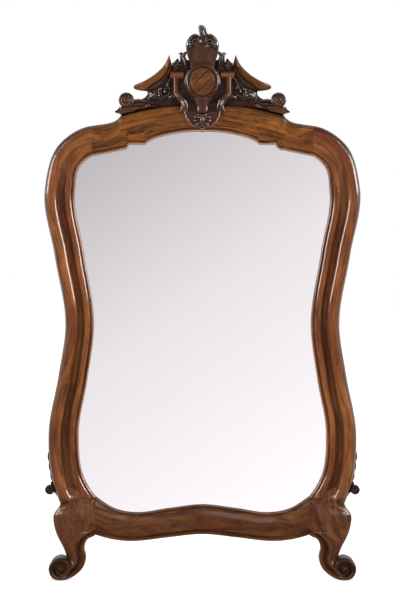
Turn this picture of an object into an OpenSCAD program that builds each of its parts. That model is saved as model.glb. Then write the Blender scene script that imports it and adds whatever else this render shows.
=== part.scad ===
// Carved walnut mirror with a serpentine moulded frame, scroll feet and a broken-pediment crest.
// Millimetres. +Z is up, the front faces -Y, and the feet stand on Z = 0 with X = 0 on the centre line.
// Depths are counted forward from the plane of the frame's back, and place() turns them into -Y.

/* [Glass opening] */
// Half width of the opening at the shoulders
shoulder_half = 385; // [375:1:395]
// Half width of the opening at the waist
waist_half = 328; // [316:1:340]
// Half width of the opening at the hips
hip_half = 374; // [366:1:382]
// Half distance between the end joints of the top rail
seam_half = 333; // [328:1:340]
// Half distance between the end joints of the bottom rail
foot_seam_half = 322; // [316:1:326]
// Height of the opening's edge at the top rail's end joints, above the stile's foot joint
stile_h = 1029; // [990:3:1080]
// Drop from the top rail's end joint to the shoulder
shoulder_drop = 105; // [98:1:115]
// Height of the waist above the stile's foot joint
waist_up = 519; // [490:3:550]
// Height of the hip above the stile's foot joint
hip_up = 189; // [175:1:205]
// Half width of the arched part of the opening
arch_half = 172; // [160:1:180]
// Rise of the arch over its springing
arch_rise = 40; // [32:1:46]
// Height of the small step outside the arch
step_h = 17; // [12:1:20]
// Rise of the opening's edge from the end joint to the step
shoulder_rise = 18; // [12:1:24]

/* [Frame mouldings] */
// Width of a stile at the shoulder and the hip
stile_w = 90; // [84:1:96]
// Width of a stile at the waist
waist_w = 85; // [80:1:90]
// Width of a stile where it stands on the foot
knee_w = 114; // [110:1:120]
// Height of the top rail at its end joints
rail_h = 90; // [84:1:96]
// Height of the top rail over the middle of the arch
crown_h = 81; // [76:1:90]
// Height of the bottom rail at its middle
bottom_rail_h = 87; // [80:1:94]
// Depth of the frame at the crown of its mouldings
frame_d = 58; // [54:1:64]
// Depth of the square outer edge of the frame
side_d = 24; // [20:1:28]
// Width of the round on the outer side of a stile
round_w = 42; // [38:1:46]
// Depth of the frame at the bottom of the stile's hollow
hollow_d = 38; // [34:1:42]
// Width of the inner round of a stile
inner_round_w = 18; // [15:1:20]
// Depth of the frame at the top of the inner round
inner_round_d = 48; // [45:1:51]
// Width of the bead at the opening's edge
bead_w = 8; // [6:1:10]
// Half width of the part of the top rail that breaks forward
break_half = 246; // [242:1:252]
// How far that part stands in front of the rest of the rail
break_proud = 6; // [3:1:9]
// Width of the rebate behind the opening's edge
rebate_w = 14; // [13:1:16]
// Depth of the rebate
rebate_d = 18; // [16:1:20]

/* [Feet] */
// Height of the joint between foot and stile
foot_h = 246; // [238:1:256]
// Height of the bottom rail's underside at its middle
rail_clear = 135; // [128:1:142]
// How far the bottom rail's lower edge hangs below its middle
belly_drop = 21; // [16:1:26]
// Radius of the foot scroll
scroll_r = 36; // [33:1:39]
// Half distance between the centres of the foot scrolls
scroll_half = 424; // [418:1:430]
// Depth of a foot at its scroll
foot_d = 84; // [78:1:90]
// Depth of a foot at its knee
knee_d = 76; // [70:1:80]

/* [Crest] */
// Height of the crest from the top of the arch to the tip of its finial
crest_h = 234; // [224:1:250]
// Thickness of the sawn board that carries the crest's carvings
ground_t = 22; // [18:1:26]
// Distance from the frame's back to the back of that board
ground_back = 14; // [12:1:18]
// Thickness of the pediment wings
wing_t = 26; // [20:1:32]
// Width of a pediment wing across its moulding
wing_w = 42; // [38:1:45]
// Height of the wing's tip above the arch
wing_tip_up = 145; // [138:1:152]
// Half distance between the wing tips
wing_tip_half = 100; // [97:1:104]
// Half distance between the noses of the wings
wing_nose_half = 208; // [202:1:214]
// Height of the wing's nose above the arch
wing_nose_up = 54; // [50:1:58]
// Radius of the volutes at the ends of the crest
volute_r = 23; // [20:1:25]
// Half distance between the volutes
volute_half = 228; // [225:1:230]
// Half distance between the inner ends of the stems that run in from the volutes
stem_half = 128; // [120:1:134]
// Half width of the carved oval ring
ring_half_w = 49; // [46:1:51]
// Half height of the carved oval ring
ring_half_h = 50; // [46:1:52]
// Width of the oval ring's moulding
ring_band = 10; // [8:1:12]
// Height of the oval's centre above the arch
boss_up = 62; // [58:1:66]
// Depth of the frame at the front of the cartouche
cartouche_d = 74; // [72:1:80]
// Height of the foot of the cartouche's head above the arch
head_up = 170; // [166:1:174]
// Radius of the two scrolls on the cartouche's head
head_scroll_r = 18; // [16:1:19]

/* [Mirror and back] */
// Thickness of the silvered glass
plate_t = 4; // [3:0.5:5]
// How far the glass reaches under the rebate
plate_lap = 11; // [9:1:12]
// Thickness of the back boards
board_t = 8; // [6:1:10]
// How far the back boards reach past the opening's edge
board_lap = 32; // [30:1:34]
// Gap between neighbouring back boards
board_gap = 1; // [0.5:0.5:2]
// Radius of the dowels in the frame's joints
dowel_r = 5; // [4:0.5:6]
// Length of a dowel
dowel_len = 50; // [40:2:56]

/* [Hangers] */
// Radius of the wire of a hanging ring
wire_r = 2.25; // [2:0.25:2.5]
// Radius of the hanging ring's round end, to the middle of its wire
hang_r = 18; // [16:1:19]
// Running clearance between the wire and its knuckle
hinge_clear = 0.06; // [0.03:0.01:0.1]
// Drop from the shoulder to the hinge line of the hanging rings
hanger_drop = 50; // [30:2:80]
// Thickness of the hanger's strap
strap_t = 2.5; // [2:0.5:3]
// Width of the hanger's strap
strap_w = 18; // [16:1:20]
// Length of the hanger's strap
strap_len = 62; // [56:1:70]

/* [Hidden] */

// Seats and clearances
seat = 0.3;
dowel_clear = 0.1;

// Heights worked out from the driving sizes
top_z = foot_h + stile_h;
shoulder_z = top_z - shoulder_drop;
waist_z = foot_h + waist_up;
hip_z = foot_h + hip_up;
fillet_z = top_z + shoulder_rise + step_h;
arch_z = fillet_z + arch_rise;
crest_z = arch_z + crown_h;
boss_z = crest_z + boss_up;
tip_z = crest_z + crest_h;
scroll_z = scroll_r - 0.8;

// Depths worked out from the driving sizes
ground_front = ground_back + ground_t;
arch_front = frame_d + break_proud;
overlay = arch_front + seat;
body_front = cartouche_d - 8;
boss_w = ring_half_w - ring_band - seat;
boss_h = ring_half_h - ring_band - seat;
boss_rise = norm([boss_w - 2, 60]) - 60;
front_reach = max(foot_d, body_front + 5 + boss_rise);
hinge_d = -(wire_r + hinge_clear + strap_t + 0.7);
knuckle_r = wire_r + hinge_clear + 2.2;
screw_head_h = 2;
back_reach = max(knuckle_r - hinge_d, board_t + screw_head_h);
y_mid = (front_reach - back_reach) / 2;

// Colours as the photograph shows them
walnut = [0.43, 0.25, 0.14];
figured = [0.50, 0.30, 0.15];
dark_walnut = [0.20, 0.13, 0.10];
pine = [0.72, 0.58, 0.40];
silvered = [0.85, 0.84, 0.87];
steel = [0.45, 0.44, 0.42];
brass = [0.66, 0.52, 0.26];

// Number helpers
function mix(a, b, t) = a + (b - a) * t;
function clamp(v) = min(max(v, 0), 1);
function ease(v) = let (t = clamp(v)) t * t * (3 - 2 * t);
function unit(v) = v / norm(v);
function turned(a) = [cos(a), sin(a)];
function swapped(p) = [-p[0], p[1]];
function backwards(list) = [for (i = [len(list) - 1:-1:0]) list[i]];

// Smooth curve through knots: u counts the knots, and ends may give the directions at both ends
function chord(k, i) = norm(k[i + 1] - k[i]) + 0.000001;
function heading(k, i) = (k[i + 1] - k[i]) / chord(k, i);
function slope(k, i, ends) =
    i == 0 ? (ends ? unit(ends[0]) : heading(k, 0))
    : i == len(k) - 1 ? (ends ? unit(ends[1]) : heading(k, i - 1))
    : (heading(k, i) * chord(k, i - 1) + heading(k, i - 1) * chord(k, i)) / (chord(k, i - 1) + chord(k, i));
function curve(k, u, ends) =
    let (i = min(floor(u), len(k) - 2), t = u - i, h = chord(k, i))
    k[i] * (1 - t) * (1 - t) * (1 + 2 * t) + k[i + 1] * t * t * (3 - 2 * t)
    + slope(k, i, ends) * h * t * (1 - t) * (1 - t) - slope(k, i + 1, ends) * h * t * t * (1 - t);

// Smooth height over x through knots, level at the first one
function rise(k, i) = (k[i + 1][1] - k[i][1]) / (k[i + 1][0] - k[i][0]);
function grade(k, i) =
    i == 0 ? 0 : i == len(k) - 1 ? 1.5 * rise(k, i - 1) - 0.5 * grade(k, i - 1) : (rise(k, i) + rise(k, i - 1)) / 2;
function span(k, x, i = 0) = i >= len(k) - 2 || x <= k[i + 1][0] ? i : span(k, x, i + 1);
function height(k, x) =
    let (i = span(k, x), w = k[i + 1][0] - k[i][0], t = (x - k[i][0]) / w)
    k[i][1] * (1 - t) * (1 - t) * (1 + 2 * t) + k[i + 1][1] * t * t * (3 - 2 * t)
    + grade(k, i) * w * t * (1 - t) * (1 - t) - grade(k, i + 1) * w * t * t * (1 - t);

// The glass opening's edge down the right stile, and the stile's outer edge beside it
sight_knots = [
    [seam_half, top_z],
    [mix(seam_half, shoulder_half, 0.72), mix(top_z, shoulder_z, 0.31)],
    [shoulder_half, shoulder_z],
    [mix(shoulder_half, waist_half, 0.46), mix(shoulder_z, waist_z, 0.46)],
    [waist_half, waist_z],
    [mix(waist_half, hip_half, 0.43), mix(waist_z, hip_z, 0.5)],
    [hip_half, hip_z],
    [mix(hip_half, foot_seam_half, 0.35), mix(hip_z, foot_h, 0.72)],
    [foot_seam_half, foot_h]];
sight_ends = [[0.92, -0.39], [-0.70, -0.71]];
side_w = mix(stile_w, waist_w, 0.6);
widths = [rail_h, stile_w, stile_w, side_w, waist_w, side_w, stile_w, stile_w + 4, knee_w];
leans = [90, 47, 3, -8, 0, 8.5, 0, -9, 0];
outer_knots = [for (i = [0:len(sight_knots) - 1]) sight_knots[i] + widths[i] * turned(leans[i])];
outer_ends = [[1, -0.12], [-0.30, -0.95]];
last_u = len(sight_knots) - 1;
function sight(u) = curve(sight_knots, u, sight_ends);
function outer(u) = curve(outer_knots, u, outer_ends);
function sight_way(u) = unit(sight(min(u + 0.02, last_u)) - sight(max(u - 0.02, 0)));
function sight_side(u) = let (t = sight_way(u)) [-t[1], t[0]];

// The opening's edge under the top rail, and the rail's upper edge, both over the distance from the centre
step_w = 12;
step_half = arch_half + 63;
function sight_top(x) =
    x >= step_half ? mix(top_z, top_z + shoulder_rise, (seam_half - x) / (seam_half - step_half))
    : x > step_half - step_w ? let (t = (step_half - x) / step_w) fillet_z - step_h * sqrt(1 - t * t)
    : x >= arch_half ? fillet_z
    : fillet_z + arch_rise * sqrt(1 - pow(x / arch_half, 2));
shelf_z = crest_z - 36;
function rail_top(x) =
    let (t = (seam_half - x) / (seam_half - break_half), lift = shelf_z - top_z - rail_h)
    x > break_half ? top_z + rail_h + lift * (0.4 * t + 0.6 * pow(t, 6))
    : mix(crest_z, shelf_z, pow(x / break_half, 2));

// The bottom rail's two edges
rail_mid_z = rail_clear + bottom_rail_h;
bottom_sight_knots = [
    [0, rail_mid_z], [0.31 * foot_seam_half, rail_mid_z - 11], [0.62 * foot_seam_half, rail_mid_z - 24],
    [0.83 * foot_seam_half, rail_mid_z - 11], [foot_seam_half, foot_h]];
under_knots = [
    [0, rail_clear], [0.31 * foot_seam_half, rail_clear - 0.45 * belly_drop],
    [0.65 * foot_seam_half, rail_clear - belly_drop], [0.84 * foot_seam_half, rail_clear - 0.75 * belly_drop],
    [foot_seam_half, rail_clear - 2]];
function bottom_sight(x) = height(bottom_sight_knots, x);
function underside(x) = height(under_knots, x);

// The whole edge of the opening, as one closed outline
stile_steps = 6;
stile_us = [for (i = [0:last_u * stile_steps]) i / stile_steps];
side_xs = [for (i = [0:4]) mix(seam_half, break_half + 1.5, i / 4)];
step_xs = [for (i = [0:4]) step_half - step_w * sin(22.5 * i)];
fillet_xs = [for (i = [1:2]) mix(step_half - step_w, arch_half, i / 3)];
arch_xs = [for (i = [0:9]) arch_half * cos(10 * i)];
rail_xs = concat(side_xs, [break_half - 1.5], step_xs, fillet_xs, arch_xs);
belly_xs = [for (i = [0:11]) foot_seam_half * i / 12];
right_edge = concat(
    [for (x = backwards(rail_xs)) [x, sight_top(x)]],
    [for (i = [1:len(stile_us) - 1]) sight(stile_us[i])],
    [for (x = backwards(belly_xs)) [x, bottom_sight(x)]]);
left_edge = [for (p = backwards(right_edge)) if (p[0] > 0.01) swapped(p)];
opening = concat(right_edge, left_edge);

// Triangles that fill a closed outline, cut off it one corner at a time
function bend_at(a, b, c) = cross(b - a, c - b);
function holds(p, t) = bend_at(t[0], t[1], p) >= 0 && bend_at(t[1], t[2], p) >= 0 && bend_at(t[2], t[0], p) >= 0;
function corner(q, ids, i) =
    let (n = len(ids), t = [q[ids[(i + n - 1) % n]], q[ids[i]], q[ids[(i + 1) % n]]])
    bend_at(t[0], t[1], t[2]) > 0 && len([for (j = [2:n - 2]) if (holds(q[ids[(i + j) % n]], t)) 1]) == 0;
function corner_from(q, ids, i) = i >= len(ids) - 1 || corner(q, ids, i) ? i : corner_from(q, ids, i + 1);
function fill(q, ids) =
    let (n = len(ids), i = corner_from(q, ids, 0))
    n == 3 ? [ids] : concat([[ids[(i + n - 1) % n], ids[i], ids[(i + 1) % n]]],
        fill(q, [for (j = [0:n - 1]) if (j != i) ids[j]]));
function total(list, i = 0) = i == len(list) - 1 ? list[i] : list[i] + total(list, i + 1);
function cap(ring) =
    let (n = len(ring), axis = unit(total([for (i = [0:n - 1]) cross(ring[i], ring[(i + 1) % n])])),
        along = unit(ring[1] - ring[0]), up = cross(axis, along))
    fill([for (p = ring) [p * along, p * up]], [for (i = [0:n - 1]) i]);

// Solids from rings of points, and boards that face the front
module loft(rings, closed = false) {
    n = len(rings[0]);
    count = len(rings) * n;
    corners = [for (ring = rings) each ring];
    sides = [for (i = [0:n:count - (closed ? 1 : n + 1)], j = [0:n - 1]) let (k = (j + 1) % n, next = (i + n) % count)
        each [[i + j, next + k, i + k], [i + j, next + j, next + k]]];
    ends = closed ? [] : concat(cap(rings[0]), [for (t = cap(rings[len(rings) - 1])) [for (j = [2:-1:0]) count - n + t[j]]]);
    polyhedron(corners, concat(sides, ends));
}
module place() { translate([0, y_mid, 0]) children(); }
module board(from_d, to_d) { rotate([90, 0, 0]) translate([0, 0, from_d]) linear_extrude(to_d - from_d) children(); }
module drum(x, z, r, from_d, to_d) {
    translate([x, -from_d, z]) rotate([90, 0, 0]) cylinder(r = r, h = to_d - from_d, $fn = 64);
}
module other_side() { mirror([1, 0, 0]) children(); }
function ring_at(from, to, section) =
    let (way = unit(to - from)) [for (q = section) let (p = from + way * q[0]) [p[0], -q[1], p[1]]];

// Section of the frame, from its outer edge to the opening: [distance, depth].
// f is 0 for the plain swelling of the top rail and 1 for the hollowed moulding of the stiles.
// k widens the inner members where a ring cuts the opening's edge aslant, and wall is the rebate's width there.
function groove_at(w) = max(w / 2, round_w);
function plain_d(a, w) = let (g = groove_at(w))
    mix(frame_d, inner_round_d - 4, ease((a - g) / (w - g - bead_w))) - (a > g ? 2.5 : 0);
function frame_section(w, f, k, wall, proud) =
    let (inner = (bead_w + inner_round_w) * k,
        outer_round = [for (i = [0:6]) let (t = 180 - 25.5 * i, a = round_w / 2 * (1 + cos(t)),
            d = side_d + (frame_d - side_d) * sin(t)) [a, i > 3 ? mix(plain_d(a, w), d, f) : d]],
        valley = [for (q = [[-1.5, 0.1], [1.5, 0.45], [9, 0.9]]) let (a = mix(groove_at(w) + q[0],
            mix(round_w, w - inner, q[1]), f)) [a, mix(plain_d(a, w), hollow_d - 2 * sin(180 * q[1]), f)]],
        inner_round = [for (i = [0:3]) let (t = 165 - 50 * i, a = w - (bead_w + inner_round_w / 2 * (1 - cos(t))) * k,
            d = hollow_d + (inner_round_d - hollow_d) * sin(t)) [a, mix(plain_d(a, w), d, f)]],
        bead = [for (q = [[1, 0], [0.75, 5], [0.25, 5], [0, 0]]) [w - bead_w * k * q[0], hollow_d - 2 + q[1]]],
        front = concat(outer_round, valley, inner_round, bead))
    concat([[0, 0]], [for (q = front) [q[0], q[1] + proud]], [[w, rebate_d], [w - wall, rebate_d], [w - wall, 0]]);

// Dowels of the frame's joints; the same module with a clearance cuts their bores
module peg(x, z, turn, grow) {
    translate([x, -frame_d / 2, z]) rotate(turn)
        cylinder(r = dowel_r + grow, h = dowel_len + (grow > 0 ? 4 : 0), center = true, $fn = 48);
}
module shoulder_pegs(grow = 0) {
    for (up = [0.38, 0.74]) peg(seam_half, top_z + up * rail_h, [0, 90, 0], grow);
}
module bottom_pegs(grow = 0) {
    for (down = [45, 85]) peg(foot_seam_half, foot_h - down, [0, 90, 0], grow);
}
module foot_pegs(grow = 0) {
    for (out = [0.40, 0.72]) peg(foot_seam_half + out * knee_w, foot_h, [0, 0, 0], grow);
}
module crest_pegs(grow = 0) {
    for (x = [-150, -50, 50, 150]) translate([0, frame_d / 2 - ground_back - ground_t / 2, 0])
        peg(x, rail_top(abs(x)), [0, 0, 0], grow);
}

// Screws that go in from behind, through a board or strap of the given thickness
screw_r = 2;
screw_in = 16;
module screw(p, through, grow = 0) {
    translate([p[0], through, p[1]]) rotate([90, 0, 0]) {
        cylinder(r = screw_r + grow, h = through + screw_in + grow, $fn = 32);
        if (grow == 0) translate([0, 0, -screw_head_h]) cylinder(r1 = 3, r2 = 4, h = screw_head_h, $fn = 32);
    }
}
screw_lap = board_lap - 9;
stile_screws = [for (u = [0.5, 2.7, 4, 5.4, 6.9]) sight(u) + screw_lap * sight_side(u)];
top_screws = [for (x = [40, 115, 205]) [x, sight_top(x) + screw_lap]];
bottom_screws = [for (x = [60, 165, 270]) [x, bottom_sight(x) - screw_lap]];
module screws(points, through, grow = 0) { for (p = points) screw(p, through, grow); }

// Hanging ring and its strap, on the back of the stile below the shoulder
hang_u = 2 + hanger_drop / (sight_knots[2][1] - sight_knots[3][1]);
hang_z = shoulder_z - hanger_drop;
hang_x = (sight(hang_u)[0] + board_lap + outer(hang_u)[0]) / 2;
ring_leg = 8;
strap_screws = [for (up = [0.22, 0.74]) [hang_x, hang_z + up * strap_len]];

// Stiles: one moulded sweep from the top rail's joint round the shoulder and down to the foot
function hollowed(u) = ease((u - 0.9) / 1.3) * (1 - 0.6 * ease((u - 7.2) / 0.8));
function stile_ring(u) =
    let (from = outer(u), to = sight(u), way = unit(to - from), k = 1 / max(0.5, abs(cross(way, sight_way(u)))))
    ring_at(from, to, frame_section(norm(to - from), hollowed(u), k, rebate_w * k, 0));
module stile() {
    color(walnut) difference() {
        loft([for (u = stile_us) stile_ring(u)]);
        shoulder_pegs(dowel_clear);
        foot_pegs(dowel_clear);
        screws(stile_screws, board_t, dowel_clear);
        screws(strap_screws, strap_t, dowel_clear);
    }
}

// Top rail: one board whose arched middle breaks forward
function proud_at(x) = break_proud * clamp((break_half + 1.5 - x) / 3);
function rebate_top(x) = max([for (t = [-75:15:75]) sight_top(abs(x + rebate_w * sin(t))) + rebate_w * cos(t)]);
function rail_ring(x, side) =
    ring_at([side * x, rail_top(x)], [side * x, sight_top(x)],
        frame_section(rail_top(x) - sight_top(x), 0, 1, rebate_top(x) - sight_top(x), proud_at(x)));
module top_rail() {
    color(figured) difference() {
        loft(concat([for (x = rail_xs) if (x > 0.01) rail_ring(x, -1)], [for (x = backwards(rail_xs)) rail_ring(x, 1)]));
        shoulder_pegs(dowel_clear);
        other_side() shoulder_pegs(dowel_clear);
        crest_pegs(dowel_clear);
        screws(top_screws, board_t, dowel_clear);
        other_side() screws(top_screws, board_t, dowel_clear);
    }
}

// Bottom rail: a broad cushion between a bead along the lower edge and a bead at the opening
function bottom_section(w, wall) = concat(
    [[0, 0], [0, side_d + 4], [2, side_d + 12], [6, side_d + 15], [10, side_d + 12], [12, side_d + 10]],
    [[15, frame_d - 17], [26, frame_d - 8], [42, frame_d - 4], [0.6 * w, frame_d - 5], [w - 24, frame_d - 9]],
    [[w - bead_w - 2, frame_d - 15], [w - bead_w, hollow_d - 2], [w - 0.75 * bead_w, hollow_d + 3]],
    [[w - 0.25 * bead_w, hollow_d + 3], [w, hollow_d - 2], [w, rebate_d], [w - wall, rebate_d], [w - wall, 0]]);
function rebate_bottom(x) =
    min([for (t = [-75:15:75]) bottom_sight(min(abs(x + rebate_w * sin(t)), foot_seam_half)) - rebate_w * cos(t)]);
function bottom_ring(x, side) =
    ring_at([side * x, underside(x)], [side * x, bottom_sight(x)],
        bottom_section(bottom_sight(x) - underside(x), bottom_sight(x) - rebate_bottom(x)));
module bottom_rail() {
    xs = concat(belly_xs, [foot_seam_half]);
    color(figured) difference() {
        loft(concat([for (x = backwards(xs)) bottom_ring(x, 1)], [for (x = xs) if (x > 0.01) bottom_ring(x, -1)]));
        bottom_pegs(dowel_clear);
        other_side() bottom_pegs(dowel_clear);
        screws(bottom_screws, board_t, dowel_clear);
        other_side() screws(bottom_screws, board_t, dowel_clear);
    }
}

// Feet: a block under the stile that swells to a knee, narrows to an ankle and curls outward into a scroll.
// Each ring runs from the rail's side of the foot to its outer side.
knee_x = foot_seam_half + knee_w;
corner_z = rail_clear - 2;
foot_inner = [
    [foot_seam_half, foot_h], [foot_seam_half, foot_h - 32], [foot_seam_half, foot_h - 80],
    [foot_seam_half, corner_z], [foot_seam_half + 24, corner_z - 14], [scroll_half - 68, mix(scroll_z, corner_z, 0.62)],
    [scroll_half - 73, scroll_z + 30], [scroll_half - scroll_r - 29, scroll_z],
    [scroll_half - 42, scroll_z - 23], for (a = [270:45:450]) [scroll_half, scroll_z] + scroll_r * turned(a)];
foot_outer = [
    [knee_x, foot_h], [knee_x - 8, foot_h - 16], [knee_x + 11, foot_h - 52], [knee_x + 8, foot_h - 88],
    [knee_x - 4, mix(scroll_z, corner_z, 0.90)], [knee_x - 17, mix(scroll_z, corner_z, 0.64)],
    [scroll_half - 16, scroll_z + 34], [scroll_half - 22, scroll_z + 9],
    [scroll_half - 16, scroll_z - 10], for (a = [270:45:450]) [scroll_half, scroll_z] + 0.55 * scroll_r * turned(a)];
foot_depths = [
    [frame_d + 2, 48], [frame_d + 4, 44], [knee_d, 50], [knee_d - 2, 48], [knee_d - 8, 42],
    [knee_d - 13, 38], [knee_d - 14, 38], [foot_d - 12, 44], [foot_d - 5, 60], [foot_d - 2, 72],
    for (i = [1:4]) [foot_d, foot_d - 8]];
foot_turns = len(foot_inner) - 1;
function foot_ring(u) =
    let (p = curve(foot_inner, u), from = u <= 3 ? [foot_seam_half, p[1]] : p, to = curve(foot_outer, u),
        w = norm(to - from), d = curve(foot_depths, u))
    ring_at(from, to, concat([[0, 0]], [for (s = [0, 0.04, 0.14, 0.30, 0.50, 0.70, 0.86, 0.96, 1])
        [s * w, mix(d[1], d[0], sqrt(1 - pow(abs(2 * s - 1), 2.4)))]], [[w, 0]]));

// A flat spiral band: outer radius r, band width w, from turn a0 to turn a1 in degrees, winding inward after a hold
function spiral_r(r, a, hold, a1, eye) = a < hold ? r : mix(r, eye, pow((a - hold) / (a1 - hold), 0.8));
module spiral_band(r, w, a0, hold, a1, eye) {
    turns = [for (i = [0:36]) mix(a0, a1, i / 36)];
    polygon(concat([for (a = turns) spiral_r(r, a, hold, a1, eye) * turned(a)],
        [for (a = backwards(turns)) (spiral_r(r, a, hold, a1, eye) - w * mix(1, 0.6, (a - a0) / (a1 - a0))) * turned(a)]));
}
module foot() {
    color(walnut) difference() {
        union() {
            loft([for (i = [3 * foot_turns:-1:0]) foot_ring(i / 3)]);
            drum(scroll_half, scroll_z, 0.8 * scroll_r, 0, foot_d - 10);
            board(foot_d - 12, foot_d - 3) translate([scroll_half, scroll_z])
                spiral_band(0.70 * scroll_r, 0.16 * scroll_r, 90, 130, 480, 0.36 * scroll_r);
            drum(scroll_half, scroll_z, 0.18 * scroll_r, foot_d - 12, foot_d - 2);
        }
        translate([scroll_half - 2 * scroll_r, -2 * foot_d, -20]) cube([4 * scroll_r, 3 * foot_d, 20]);
        board(-1, rebate_d) intersection() {
            offset(r = rebate_w, $fn = 24) polygon(opening);
            translate([foot_seam_half - 1, foot_h - 40]) square([60, 50]);
        }
        bottom_pegs(dowel_clear);
        foot_pegs(dowel_clear);
    }
}

// Side scrolls: a thin carved leaf up the back of the stile's outer edge, over a small volute
side_volute_r = 15;
side_t = 20;
function outer_side(u) = let (t = unit(outer(min(u + 0.02, last_u)) - outer(u - 0.02))) [-t[1], t[0]];
function lobe(u) = u < 6.95 ? 2 + 5 * abs(sin(180 * (u - 6.35) / 0.2)) : mix(8, 2, ease((u - 7.35) / 0.6));
module side_scroll() {
    us = [for (i = [0:32]) 6.35 + 0.05 * i];
    centre = outer(7.3) + (side_volute_r + 1) * outer_side(7.3);
    color(dark_walnut) union() {
        board(0, side_t) polygon(concat([for (u = us) outer(u) + seat * outer_side(u)],
            [for (u = backwards(us)) outer(u) + (seat + lobe(u)) * outer_side(u)]));
        drum(centre[0], centre[1], side_volute_r, 0, side_t);
        drum(centre[0], centre[1], side_volute_r / 3, side_t - 1, side_t + 5);
        board(side_t - 1, side_t + 4) translate(centre)
            spiral_band(side_volute_r - 1, 4, 30, 200, 420, side_volute_r * 0.6);
    }
}

// Crest ground: the sawn board that stands on the arch and carries all the carvings.
// Crest outlines are lists of [distance from the centre line, height above the arch].
function on_crest(list) = [for (p = list) [p[0], crest_z + p[1]]];
function both_halves(list) = concat(list, [for (p = backwards(list)) if (p[0] > 0.01) swapped(p)]);
shelf_up = shelf_z - crest_z;
volute_up = shelf_up + 21 + volute_r;
plinth_in = volute_half - 28;
plinth_out = volute_half + 16;
function stem_top(x) = rail_top(x) + mix(10, 38, ease((x - stem_half) / 75));
crest_xs = [for (i = [0:12]) (plinth_out + 0.5) * i / 12];
wing_path = [[0, 0], [0.17, 0.26], [0.44, 0.59], [0.74, 0.84], [1, 1]];
wing_fall = [[0.08, -120], [0.66, -150], [1, -133], [0.72, -115], [0.20, -100]];
wing_upper = [for (q = wing_path)
    [mix(wing_tip_half, wing_nose_half, q[0]), crest_z + mix(wing_tip_up, wing_nose_up, q[1])]];
wing_lower = [for (i = [0:4]) wing_upper[i] + wing_w * wing_fall[i][0] * turned(wing_fall[i][1])];
body_half = ring_half_w + 5;
neck_up = boss_up + ring_half_h + 10;
wing_us = [for (i = [0:20]) i / 5];
module crest_ground() {
    flank = on_crest([[volute_half + 14, volute_up - 8], [volute_half, volute_up + 4], [volute_half - 22, volute_up + 5],
        [volute_half - 46, volute_up + 6], [volute_half - 57, volute_up + 12], [volute_half - 63, volute_up + 22],
        [volute_half - 61, volute_up + 31]]);
    back = on_crest([[wing_tip_half - 8, wing_tip_up - 27], [wing_tip_half - 14, neck_up - 12],
        [body_half + 10, neck_up - 12], [body_half - 8, neck_up - 10], [0, neck_up - 10]]);
    under = [for (u = backwards(wing_us)) if (u > 0.8 && u < 3.6) mix(curve(wing_upper, u), curve(wing_lower, u), 0.6)];
    half = concat([for (x = crest_xs) [x, rail_top(x) + seat]], flank, under, back);
    color(dark_walnut) difference() {
        union() {
            board(ground_back, ground_front) polygon(both_halves(half));
            for (side = [-1, 1]) drum(side * volute_half, crest_z + volute_up, volute_r - 2, ground_back, ground_front);
        }
        crest_pegs(dowel_clear);
    }
}

// Pediment wings: swept mouldings that turn up to a tip beside the cartouche and out to a nose
function wing_ring(u) =
    let (from = curve(wing_upper, u), to = curve(wing_lower, u), w = norm(to - from),
        t = wing_t * mix(0.35, 1, clamp(w / (0.7 * wing_w))))
    ring_at(from, to, [for (q = [[0, 0], [0, 0.35], [0.04, 0.68], [0.14, 0.95], [0.27, 1], [0.41, 0.90],
        [0.52, 0.70], [0.57, 0.50], [0.62, 0.58], [0.78, 0.48], [1, 0.18], [1, 0]])
        [q[0] * w, ground_front + q[1] * t]]);
module wing() { color(figured) loft([for (u = wing_us) wing_ring(u)]); }

// End volutes: a plinth with a pointed lip, a volute on it, and the stem that runs in towards the cartouche
module end_volute() {
    stem_xs = [for (i = [0:8]) mix(volute_half, stem_half, i / 8)];
    centre = [volute_half, crest_z + volute_up];
    plinth_xs = [for (i = [0:4]) mix(plinth_in, plinth_out, i / 4)];
    color(dark_walnut) union() {
        board(ground_front, ground_front + 24) polygon(concat([for (x = plinth_xs) [x, rail_top(x) + seat]],
            on_crest([[plinth_out + 5, shelf_up + 4], [plinth_out + 19, shelf_up + 9], [plinth_out + 10, shelf_up + 16],
            [plinth_out + 4, shelf_up + 24], [plinth_out - 1, shelf_up + 23], [plinth_in, shelf_up + 23]])));
        board(ground_front, ground_front + 16) polygon(concat([for (x = stem_xs) [x, rail_top(x) + seat]],
            [for (x = backwards(stem_xs)) [x, stem_top(x)]]));
        drum(centre[0], centre[1], volute_r, ground_front, ground_front + 20);
        drum(centre[0], centre[1], volute_r * 0.3, ground_front + 19, ground_front + 27);
        board(ground_front + 19, ground_front + 25) translate(centre)
            spiral_band(volute_r - 1, 0.22 * volute_r, -60, 170, 420, volute_r * 0.45);
    }
}

// Leaf: a pointed blade with a sunk vein, bent by the given angle along its length
module leaf(p, turn, len, w, h, bend = 0) {
    rings = [for (i = [0:5]) let (t = i / 5, b = bend * t, half = w / 2 * (0.25 + 1.5 * sqrt(t)) * (1.04 - t),
        mid = bend == 0 ? [t * len, 0] : len / (bend * PI / 180) * [sin(b), 1 - cos(b)], rise = h * (1.05 - 0.6 * t))
        [for (q = [[-1, 0], [-0.5, 0.95], [0, 0.55], [0.5, 1], [1, 0]]) let (s = mid + q[0] * half * [-sin(b), cos(b)])
            [s[0], -q[1] * rise, s[1]]]];
    translate([p[0], -ground_front, p[1]]) rotate([0, -turn, 0]) loft([for (r = rings) backwards(r)]);
}

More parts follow.
